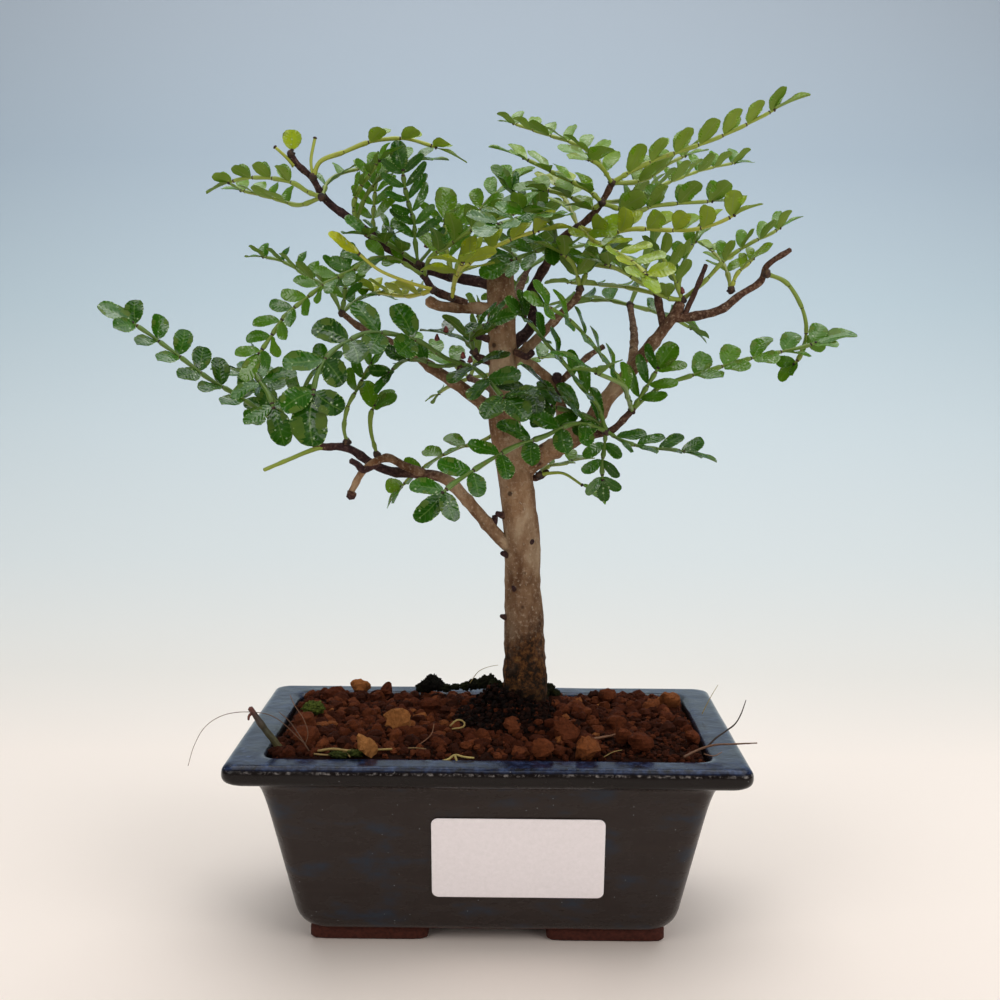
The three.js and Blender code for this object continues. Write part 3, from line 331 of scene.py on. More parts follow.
def rounded_rings(inset, straight=(11, 9), arc=8):
    """Rounded rectangles at insets from the rim's outer edge, anticlockwise from the right side's middle:
    a straight run, a quarter circle and a straight run, mirrored into the four quarters."""
    inset = np.asarray(inset, float)[:, None]
    radius = RIM_CORNER_RADIUS + CORNER_GROWTH * inset
    far_x, far_y = RIM_LENGTH / 2 - inset, RIM_WIDTH / 2 - inset
    up = np.linspace(0, 1, straight[1], endpoint=False)
    turn = np.linspace(0, np.pi / 2, arc + 1)
    back = np.linspace(1, 0, straight[0] + 1)[1:]
    x = np.hstack([far_x + 0 * up, far_x - radius + radius * np.cos(turn), (far_x - radius) * back])
    y = np.hstack([(far_y - radius) * up, far_y - radius + radius * np.sin(turn), far_y + 0 * back])
    return np.stack([np.hstack([x[:, :-1], -x[:, :0:-1], -x[:, :-1], x[:, :0:-1]]),
                     np.hstack([y[:, :-1], y[:, :0:-1], -y[:, :-1], -y[:, :0:-1]])], axis=-1)


def pot_feet():
    """Four low feet: rounded rectangles |x/a|^10 + |y/b|^10 = 1, a little smaller at the table."""
    half = np.array(FOOT_SIZE) / 2
    away = np.array(FOOT_FROM_MIDDLE) + half
    middles = np.array([[x, y, 0] for x in (-away[0], away[0]) for y in (-away[1], away[1])])
    inset = np.array([1.2, 0.5, 0, 0, 0.6])
    height = np.array([0, 0.25, 0.9, 3.6, 6])
    turn = np.linspace(0, 2 * np.pi, 48, endpoint=False)
    circle = np.stack([np.cos(turn), np.sin(turn)], axis=-1)
    square = circle * (np.abs(circle) ** 10).sum(axis=-1, keepdims=True) ** -0.1
    flat = square * (half - inset[:, None])[:, None]
    rings = np.concatenate([flat, np.broadcast_to(height[:, None, None], (5, 48, 1))], axis=-1)
    ends = middles[:, None] + np.array([[0, 0, 0], [0, 0, height[-1]]])
    return closed_skin(rings + middles[:, None, None], ends, np.linspace(0, 1, 7), np.linspace(0, 1, 49))


def make_pot():
    """The section carried round the rounded rectangle, its walls uneven by soft lumps; the floor between
    its inner and outer face, with a drain in each half; and four low feet."""
    path = rounded_path(POT_SECTION)
    lengths = np.concatenate([[0], np.cumsum(np.linalg.norm(np.diff(path, axis=0), axis=1))])
    stations = np.linspace(0, lengths[-1], int(lengths[-1] / 0.7))
    inset, height = np.interp(stations, lengths, path[:, 0]), np.interp(stations, lengths, path[:, 1])
    flat = rounded_rings(inset)
    rings = np.concatenate([flat, np.broadcast_to(height[:, None, None], flat.shape[:2] + (1,))], axis=-1)
    outward = unit(rings * [1 / RIM_LENGTH, 1 / RIM_WIDTH, 0])
    held = np.minimum(np.minimum(stations, stations[-1] - stations) / 4, 1)[:, None]
    uneven = 0.16 * lumps(rings, 21, 3) + 0.07 * lumps(rings, 6, 5)
    rings = rings + outward * (uneven * held)[..., None]
    rings[..., 2] += 0.12 * lumps(rings, 17, 9) * held * (height > 50)[:, None]
    around = np.linspace(0, 1, rings.shape[1] + 1)
    along = np.concatenate([[0], stations, [stations[-1]]])
    skins = [open_skin(rings[None], along, around)]
    ring_low, ring_high = rings[0], rings[-1]
    quarter = len(ring_low) // 4
    for side in (1, -1):
        turned = quarter * (3 if side > 0 else 1)
        half = np.roll(np.arange(len(ring_low)), -turned)[:2 * quarter + 1]
        seam = np.linspace(1, 0, 13)[1:-1, None]
        outlines = [np.vstack([ring[half], ring[half[-1]] * seam + ring[half[0]] * (1 - seam)])
                    for ring in (ring_high, ring_low)]
        drain = np.array([side * DRAIN_FROM_MIDDLE, 0.0])
        circle = drain + DRAIN_RADIUS * unit(outlines[1][:, :2] - drain)
        upper, lower = (np.column_stack([circle, np.full(len(circle), level)])
                        for level in (FLOOR_TOP, POT_BASE))
        loops = np.stack([outlines[0], upper, lower, outlines[1]])
        skins.append(open_skin(loops[None], [0, 0, 1, 2, 3, 3], np.linspace(0, 1, loops.shape[1] + 1)))
    skins.append(pot_feet())
    pale_line_at = lengths[1 + (PALE_EDGE_CORNER - 1) * BEND_POINTS + BEND_POINTS // 2]
    return make_piece("pot_body", skins, [glaze(pale_line_at)], ["pot"], weld=True)


def make_label():
    """A rounded sheet on the slanted front wall: rings of a rounded rectangle from its back over its
    edge to its face, with the face's edge a little lower than its middle."""
    (low_inset, low_height, _), (high_inset, high_height, _) = POT_SECTION[2:4]
    slope = math.atan2(high_inset - low_inset, high_height - low_height)
    inset = low_inset + (high_inset - low_inset) * (LABEL_LEVEL - low_height) / (high_height - low_height)
    wall_y = -RIM_WIDTH / 2 + inset
    middle = np.array([seen_at([*LABEL_PLACE, wall_y])[0], wall_y, LABEL_LEVEL])
    turn = np.repeat(np.arange(4), 9) * np.pi / 2 + np.tile(np.linspace(0, np.pi / 2, 9), 4)
    corner = np.stack([np.sign(np.cos(np.repeat(np.arange(4), 9) * np.pi / 2 + np.pi / 4)),
                       np.sign(np.sin(np.repeat(np.arange(4), 9) * np.pi / 2 + np.pi / 4))], axis=-1)
    edge = corner * (np.array(LABEL_SIZE) / 2 - 2) + 2 * np.stack([np.cos(turn), np.sin(turn)], axis=-1)
    shares = np.array([1, 1, 0.995, 0.98, 0.9, 0.5])
    heights = np.array([0.32, 0.5, 0.56, 0.58, 0.6, 0.62])
    flat = edge[None] * shares[:, None, None]
    out = np.broadcast_to(heights[:, None], flat.shape[:2])
    rise = np.array([0, math.sin(slope), math.cos(slope)])
    face = np.array([0, -math.cos(slope), math.sin(slope)])
    rings = middle + flat[..., :1] * [1, 0, 0] + flat[..., 1:] * rise + out[..., None] * face
    poles = np.stack([middle + 0.32 * face, middle + 0.62 * face])
    skin = closed_skin(rings[None], poles[None], np.linspace(0, 1, 8), np.linspace(0, 1, 37))
    return make_piece("label_sheet", [skin], [label_paper()], ["label"])


# Soil
TRUNK_FOOT = seen_at([520, 700, 0])[:2]


def soil_level(x, y):
    """The soil's height: 59.4 at the walls, 61.4 inside, a mound round the trunk, and soft lumps."""
    inside = np.minimum(RIM_LENGTH / 2 - SOIL_EDGE - np.abs(x), RIM_WIDTH / 2 - SOIL_EDGE - np.abs(y))
    level = 59.4 + 2.0 * np.clip(inside / 9, 0, 1)
    reach = np.hypot(x - TRUNK_FOOT[0], (y - TRUNK_FOOT[1]) / 0.8) / MOUND_RADIUS
    mound = 60 + 8 * np.sqrt(np.clip(1 - reach ** 2, 0, 1))
    places = np.stack([x, y, 0 * x], axis=-1)
    return np.maximum(level, mound) + 0.7 * lumps(places, 9, 31) + 0.3 * lumps(places, 3, 37)


def make_soil_bed():
    """The pot's filling: rings along the inner walls, then the last ring drawn in to its middle at the
    soil's height."""
    inset = np.array([25.5, 22, 14.6, 12.2])
    height = np.array([FLOOR_TOP + 1.2, 15, 50, 58.2])
    walls = np.concatenate([rounded_rings(inset), np.tile(height[:, None, None], (1, 112, 1))], axis=-1)
    top = rounded_rings([SOIL_EDGE + 0.6]) * np.linspace(1, 0.02, 34)[:, None, None]
    top = np.concatenate([top, soil_level(top[..., 0], top[..., 1])[..., None]], axis=-1)
    rings = np.concatenate([walls, top])
    poles = np.array([[0, 0, FLOOR_TOP + 1.2], [0, 0, soil_level(np.zeros(1), np.zeros(1))[0]]])
    skin = closed_skin(rings[None], poles[None], np.linspace(0, 1, len(rings) + 2),
                       np.linspace(0, 1, 113), tint=0.12)
    return make_piece("soil_bed", [skin], [soil_crumb()], ["soil"])


def ball_ways(stations, places):
    """Directions over a ball, from its lowest ring up: (stations, places, 3)."""
    steep = (np.pi * (np.arange(stations) + 1) / (stations + 1))[:, None]
    turn = np.linspace(0, 2 * np.pi, places, endpoint=False)
    return np.stack([np.sin(steep) * np.cos(turn), np.sin(steep) * np.sin(turn),
                     np.broadcast_to(-np.cos(steep), (stations, places))], axis=-1)


def stones(middles, sizes, tints, seed, stations=5, places=8, squat=0.8):
    """Broken grains. In each direction a grain reaches to the nearest of eight seeded planes, but at
    most 1.3 of its size, and is a little rough; the whole is squat."""
    copies = len(middles)
    ways = np.vstack([ball_ways(stations, places).reshape(-1, 3), [[0, 0, -1], [0, 0, 1]]])
    number = seed + np.arange(copies)[:, None, None] * 7.31 + np.arange(8)[None, :, None] * 3.77
    planes = unit(2 * draw(number + np.arange(3) * 1.13) - 1)
    offsets = 0.6 + 0.4 * draw(number[..., 0] + 0.59)
    facing = planes @ ways.T
    reach = np.min(np.where(facing > 0.08, offsets[..., None] / np.maximum(facing, 0.08), 9), axis=1)
    reach = np.minimum(reach, 1.3) * (1 + 0.17 * lumps(ways * 3 + number[:, :1] * 2.1, 0.9))
    points = ways * (reach * sizes[:, None])[..., None]
    points[..., 2] *= squat
    points = points + middles[:, None]
    rings = points[:, :-2].reshape(copies, stations, places, 3)
    return closed_skin(rings, points[:, -2:], np.linspace(0, 1, stations + 2),
                       np.linspace(0, 1, places + 1), tint=tints[:, None, None])


# Larger grains that stand out, (across, down, radius, tint)
MARKED_STONES = [
    (397, 722, 4.0, 0.9), (367, 745, 3.3, 0.95), (358, 686, 3.1, 0.85), (668, 700, 3.4, 0.72),
    (586, 748, 3.6, 0.7), (541, 747, 3.0, 0.62), (652, 706, 2.6, 0.66), (563, 733, 3.9, 0.5),
    (578, 715, 3.8, 0.46), (614, 723, 3.0, 0.52), (548, 708, 3.2, 0.5), (608, 698, 3.0, 0.5),
    (515, 728, 3.2, 0.56), (303, 735, 3.6, 0.5), (306, 723, 3.2, 0.52), (352, 728, 2.6, 0.5),
    (335, 693, 2.9, 0.4), (386, 690, 2.8, 0.42), (641, 742, 3.2, 0.45), (692, 736, 2.4, 0.5),
    (622, 738, 2.8, 0.5), (430, 705, 2.8, 0.42), (473, 707, 2.4, 0.5),
]


def make_soil_grains():
    """Grains on a staggered lattice, shifted and sized by draws, standing a third in the soil. Near the
    trunk and at the right front they are a fine dark crumb instead."""
    column, row = np.meshgrid(np.arange(-19, 20), np.arange(-12, 13))
    number = (column * 53 + row * 97 + 4000).ravel()
    x = 3.3 * (column + 0.5 * (row % 2)).ravel() + 2.2 * (draw(number) - 0.5)
    y = 2.95 * row.ravel() + 2.2 * (draw(number + 0.3) - 0.5)
    size = 1.15 + 1.5 * draw(number + 0.6) ** 2
    near = np.hypot(x - TRUNK_FOOT[0] + 5, (y - TRUNK_FOOT[1] + 3) * 1.15)
    fine = (near < 16) | ((x > 34) & (y < -14 + 0.2 * (x - 34)))
    size = np.where(fine, 0.55 * size, size)
    inside = np.abs(x) < RIM_LENGTH / 2 - SOIL_EDGE - size
    inside &= np.abs(y) < RIM_WIDTH / 2 - SOIL_EDGE - size
    inside &= np.hypot(x - TRUNK_FOOT[0], y - TRUNK_FOOT[1]) > 5
    tints = 0.2 + 0.42 * draw(number + 0.9) ** 1.3 + 0.25 * (draw(number + 1.7) > 0.93)
    tints = np.where(near < 16, 0.09 * draw(number + 2.1), np.where(fine, 0.3 * tints + 0.16, tints))
    x, y, size, tints = x[inside], y[inside], size[inside], tints[inside]
    middles = np.column_stack([x, y, soil_level(x, y) + 0.35 * size])
    marked = np.array(MARKED_STONES, float)
    seated = seen_on(marked[:, :2], (62.6 + 0.4 * marked[:, 2])[:, None])
    skins = [stones(middles, size, tints, 11.0),
             stones(seated, marked[:, 2], marked[:, 3], 71.0, 8, 12, 0.85)]
    return make_piece("soil_grains_top", skins, [soil_grain()], smooth=False)


def make_soil_crumbs():
    """Fine crumbs between the grains, thickest in a dark heap round the trunk, highest at its left."""
    number = np.arange(5200) * 1.37 + 900
    x = (draw(number) * 2 - 1) * (RIM_LENGTH / 2 - SOIL_EDGE - 1)
    y = (draw(number + 0.41) * 2 - 1) * (RIM_WIDTH / 2 - SOIL_EDGE - 1)
    gathered = np.arange(5200) % 3 == 0
    x = np.where(gathered, TRUNK_FOOT[0] - 4 + 17 * (draw(number + 5) + draw(number + 6) - 1), x)
    y = np.where(gathered, TRUNK_FOOT[1] - 4 + 15 * (draw(number + 7) + draw(number + 8) - 1), y)
    size = 0.4 + 0.7 * draw(number + 0.83) ** 2
    tints = np.where(gathered, 0.12 * draw(number + 3) ** 1.5, 0.12 + 0.4 * draw(number + 4) ** 1.5)
    off = np.hypot(x - TRUNK_FOOT[0] + 2, y - TRUNK_FOOT[1])
    heap = 5 * np.clip((15 - off) / 7, 0, 1) * draw(number + 9) * (1 - 0.5 * (x > TRUNK_FOOT[0]))
    middles = np.column_stack([x, y, soil_level(x, y) + 0.5 * size + heap])
    skin = stones(middles, size, tints, 29.0, 2, 5)
    return make_piece("soil_crumbs", [skin], [soil_grain()], smooth=False)


# Wood. A branch is its points in the view, its radius at the root and at the tip, and its bark's shades
# from root to tip: shade 0 is grey tan, 0.5 brown and 1 purple black. One without shades is a bare leaf
# stalk, which is a piece of its own, further on.
TRUNK_POINTS = [
    (526, 735, 0), (525, 700, 0), (525, 667, 0), (524, 640, 0), (523, 600, 0), (522, 550, 0),
    (518, 500, 0), (512, 460, 0), (505, 420, 0), (503, 370, 0), (502, 320, 0), (500, 273, 0),
]
TRUNK_RADII = (7.6, 7.2, 6.4, 5.9, 5.5, 5.6, 5.3, 5.2, 4.8, 4.5, 4.1, 3.9)
ROOTS = [
    [(526, 712, 0), (500, 738, -12), (470, 765, -20)],
    [(526, 712, 0), (560, 735, -8), (590, 760, -14)],
    [(526, 712, 0), (520, 735, 14), (514, 752, 26)],
]
BRANCHES = {
    "lower_left": ([(523, 556, 0), (500, 538, -2), (465, 498, -3), (447, 480, -2), (425, 474, 0),
        (395, 472, 0), (375, 465, 0), (347, 448, 0), (320, 446, 0),
        (296, 432, 0)], 2.2, 1, (0, 0.08, 0.25, 0.85, 0.95, 0.55)),
    "lower_left_dead": ([(425, 474, 0), (405, 466, -3), (386, 458, -5), (364, 470, -7),
        (350, 494, -8)], 1.4, 1, (0.2, 0)),
    "lower_left_dark": ([(378, 463, -5), (364, 470, -8), (357, 464, -9),
        (348, 459, -9)], 1.1, 0.9, (0.8, 0.95)),
    "lower_left_petiole": ([(328, 446, 0), (312, 450, -1), (290, 459, -3),
        (264, 470, -4)], 0.8, 0.6, None),
    "middle_left": ([(492, 412, 0), (478, 400, -3), (455, 383, -4), (432, 368, -3), (412, 352, 0),
        (385, 340, 3), (360, 327, 5), (342, 313, 5)], 2.2, 0.9, (0.1, 0.3, 0.4)),
    "middle_left_spur": ([(455, 383, -4), (460, 373, -5), (462, 364, -6)], 1.4, 1.2, (0.5, 0.65)),
    "upper_left_cut": ([(492, 308, 0), (465, 308, -2), (440, 306, -4),
        (425, 299, -5)], 1.8, 1.5, (0.05, 0)),
    "upper_left_dark": ([(466, 304, -2), (452, 298, -3), (434, 290, -3),
        (424, 276, -2)], 1.4, 1, (0.5, 0.95)),
    "long_upper_left": ([(498, 285, 1), (455, 277, 5), (420, 266, 4), (400, 255, 2), (380, 242, 0),
        (355, 222, 0), (335, 208, 0), (323, 196, 0), (312, 178, 0), (298, 165, 0),
        (291, 154, 0)], 1.9, 0.9, (0.8, 1, 0.95, 0.8)),
    "spur_left_of_trunk": ([(490, 362, 0), (478, 357, -3), (474, 351, -4)], 1.2, 1, (0.6, 0.9)),
    "leader": ([(508, 350, 0), (532, 325, 6), (530, 300, 8), (536, 282, 8), (548, 262, 6),
        (560, 240, 5), (585, 222, 3), (600, 205, 2), (612, 183, 0)], 1.9, 0.9, (0.9, 0.95, 0.6, 0.55)),
    "right_up": ([(512, 362, 0), (540, 336, -3), (557, 318, -4), (575, 300, -4),
        (580, 289, -4)], 1.7, 1, (0.15, 0.4)),
    "right_loop": ([(570, 440, 0), (562, 412, -4), (557, 395, -5), (551, 382, -5), (540, 371, -4),
        (520, 356, -1)], 2.2, 1.1, (0.1, 0.05)),
    "right_loop_twig": ([(556, 386, -5), (575, 368, -2), (590, 355, 2),
        (606, 345, 4)], 1.1, 0.8, (0.3, 0.5)),
    "right_main": ([(518, 470, 0), (555, 448, 0), (578, 435, 0), (600, 410, 0), (610, 395, 0),
        (640, 360, 0), (655, 340, 0), (672, 318, 0), (682, 300, 0)], 3.4, 1.4, (0.05, 0.15, 0.45)),
    "right_main_stub": ([(664, 328, 0), (660, 310, 2), (657, 294, 3)], 1.3, 1.1, (0.5, 0.7)),
    "right_long": ([(672, 318, 0), (690, 317, 0), (720, 310, 0), (740, 295, 0), (760, 282, 0),
        (768, 265, 0), (793, 248, 0)], 1.5, 0.8, (0.45, 0.55)),
    "right_long_twig": ([(684, 316, 0), (698, 285, -2), (707, 262, -2)], 0.9, 0.7, (0.7, 0.8)),
    "right_front_spur": ([(578, 436, 0), (596, 434, -5), (612, 430, -6), (625, 418, -6),
        (632, 410, -6)], 1.5, 0.9, (0.4, 0.65)),
    "back_left": ([(504, 400, 3), (490, 388, 22), (470, 378, 42)], 1.8, 0.9, (0.2, 0.5)),
    "back_middle": ([(502, 330, 2), (515, 300, 20), (528, 268, 40)], 1.8, 0.9, (0.2, 0.5)),
    "back_right": ([(632, 370, 0), (634, 335, 18), (630, 305, 36)], 1.6, 0.9, (0.2, 0.5)),
}
# Small dead stubs and knots, as points and two radii
STUBS = [
    ([(503, 515, -2), (497, 514, -4)], 1.3, 0.8), ([(508, 555, -2), (502, 553, -4)], 1.3, 0.7),
    ([(508, 618, -1), (501, 616, -3)], 1.3, 0.7),
    ([(489, 533, -1), (494, 524, -2), (495, 516, -2)], 1.1, 0.9),
    ([(528, 475, 2), (538, 478, 2), (548, 471, 1)], 1.1, 0.8),
    ([(492, 340, 0), (484, 338, -2), (477, 336, -3)], 1.3, 1.1),
    ([(515, 352, -3), (526, 356, -5), (533, 352, -6)], 1.2, 1.0),
    ([(556, 382, -5), (557, 376, -7)], 1.7, 1.5), ([(528, 545, -3), (533, 541, -5)], 1.0, 0.6),
    ([(515, 590, -4), (513, 587, -6)], 0.9, 0.5), ([(352, 492, -8), (350, 498, -8)], 1.4, 1.3),
]


def limb(points, radii, shades, seed, places=16, spacing=0.6, short=0.0, knots=0.0, rough=0.05, dome=0.5):
    """A tapered tube along a smooth line. Its radius follows radii along it, swells by knots at drawn
    places every 9 mm or so, and is uneven by lumps one and a half radii wide and by fine ones."""
    line, lengths = smooth_line(points)
    length = lengths[-1]
    share = np.linspace(0, 1 - short / length, max(int(length / spacing), 4))
    middle, along = on_line(line, lengths, share)
    radius = np.interp(share, np.linspace(0, 1, len(radii)), radii)
    knot = np.arange(max(int(length / 9), 1))
    knot_at = (knot + 0.3 + 0.5 * draw(seed + knot * 2.7)) / len(knot)
    swell = np.exp(-((share[:, None] - knot_at) * length / 1.1) ** 2).sum(axis=1)
    radius = radius * (1 + knots * swell)
    least = np.argmin(np.abs(along).max(axis=0))
    across = unit(np.eye(3)[least] - along * along[:, least, None])
    beside = np.cross(along, across)
    turn = np.linspace(0, 2 * np.pi, places, endpoint=False)[None, :, None]
    out = across[:, None] * np.cos(turn) + beside[:, None] * np.sin(turn)
    surface = middle[:, None] + out * radius[:, None, None]
    mean = float(np.mean(radii))
    wide, fine = lumps(surface, 1.6 * mean, seed), lumps(surface, 0.5 * mean, seed + 3)
    uneven = rough * mean * wide + 0.35 * rough * mean * fine
    rings = surface + out * uneven[..., None]
    poles = np.stack([middle[0] - along[0] * dome * radius[0],
                      middle[-1] + along[-1] * dome * radius[-1]])
    tint = np.interp(share, np.linspace(0, 1, len(shades)), shades)
    gone = np.concatenate([[0], share, [share[-1]]]) * length
    return closed_skin(rings[None], poles[None], gone, np.linspace(0, 2 * np.pi * mean, places + 1),
                       tint=tint[None, :, None])


def make_wood():
    """The trunk, whose foot is rough with moss, and its roots, limbs, stubs and knots."""
    trunk = limb(seen_at(TRUNK_POINTS), TRUNK_RADII, (0.5, 0.4, 0.12, 0.05, 0.0, 0.0, 0.05), 5, 48, 0.7,
                 knots=0.02, rough=0.07, dome=0.15)
    foot = np.clip((92 - trunk["points"][:, 2]) / 25, 0, 1)
    middle = seen_at([525, 690, 0])
    outward = unit((trunk["points"] - middle) * [1, 1, 0])
    bumps = lumps(trunk["points"], 1.1, 8) * 0.55 + lumps(trunk["points"], 3.2, 18) * 0.6
    trunk["points"] = trunk["points"] + outward * (foot * bumps)[:, None]
    skins = [trunk]
    for number, root in enumerate(ROOTS):
        skins.append(limb(seen_at(root), (3.2, 1.2), (0.5, 0.5), 40 + number, 10, 1.2))
    for number, (points, root, tip, shades) in enumerate(BRANCHES.values()):
        if shades:
            skins.append(limb(seen_at(points), (root, tip), shades, 60 + number * 3,
                              20 if root > 3 else 14, 0.6, short=0.9, knots=0.16, rough=0.09))
    for number, (points, root, tip) in enumerate(STUBS):
        skins.append(limb(seen_at(points), (root, tip), (0.6, 0.95), 160 + number, 10, 0.4, rough=0.2))
    return make_piece("trunk_and_limbs", skins, [bark()], ["trunk_and_branches"])


# Foliage. A spray is its bud, how young it is, from 0, dark and grown, to 1, yellow, and its leaves. A leaf
# is a rib with these values:
#   rib     where it passes after the bud, (across, down)
#   tip     depth of its tip, before it is settled; the depth goes evenly from the bud to the tip
#   pairs   of leaflets, and size, a leaflet's length
#   face    how far its upper side turns to the view, from -1, away, over 0, flat, to 1
#   lean    how far its upper side turns to the right
#   bare    the share of the rib before its first leaflets
#   end     length of the leaflet at the tip
#   spread  the angle between a leaflet and the rib, in degrees
#   fold    how far each pair is folded up into a V, in degrees
#   aspect  a leaflet's width as a share of its length
def leaf(rib, tip, pairs, size, face, lean=0.0, bare=0.3, end=None, spread=52, fold=25, aspect=0.64):
    """A leaf's values by name; its end leaflet has the others' size unless told."""
    return {"rib": rib, "tip": tip, "pairs": pairs, "size": size, "face": face, "lean": lean,
            "bare": bare, "end": size if end is None else end, "spread": math.radians(spread),
            "fold": math.radians(fold), "aspect": aspect}


END_SHARE = 0.8
LAST_PAIR_GAP = 1.6
JOINT_HALF_LENGTH = 0.75
# In the solids a leaf's tip may stand nearer or farther by one of these, to keep clear of other leaves
TIP_SHIFTS = range(-20, 21, 4)
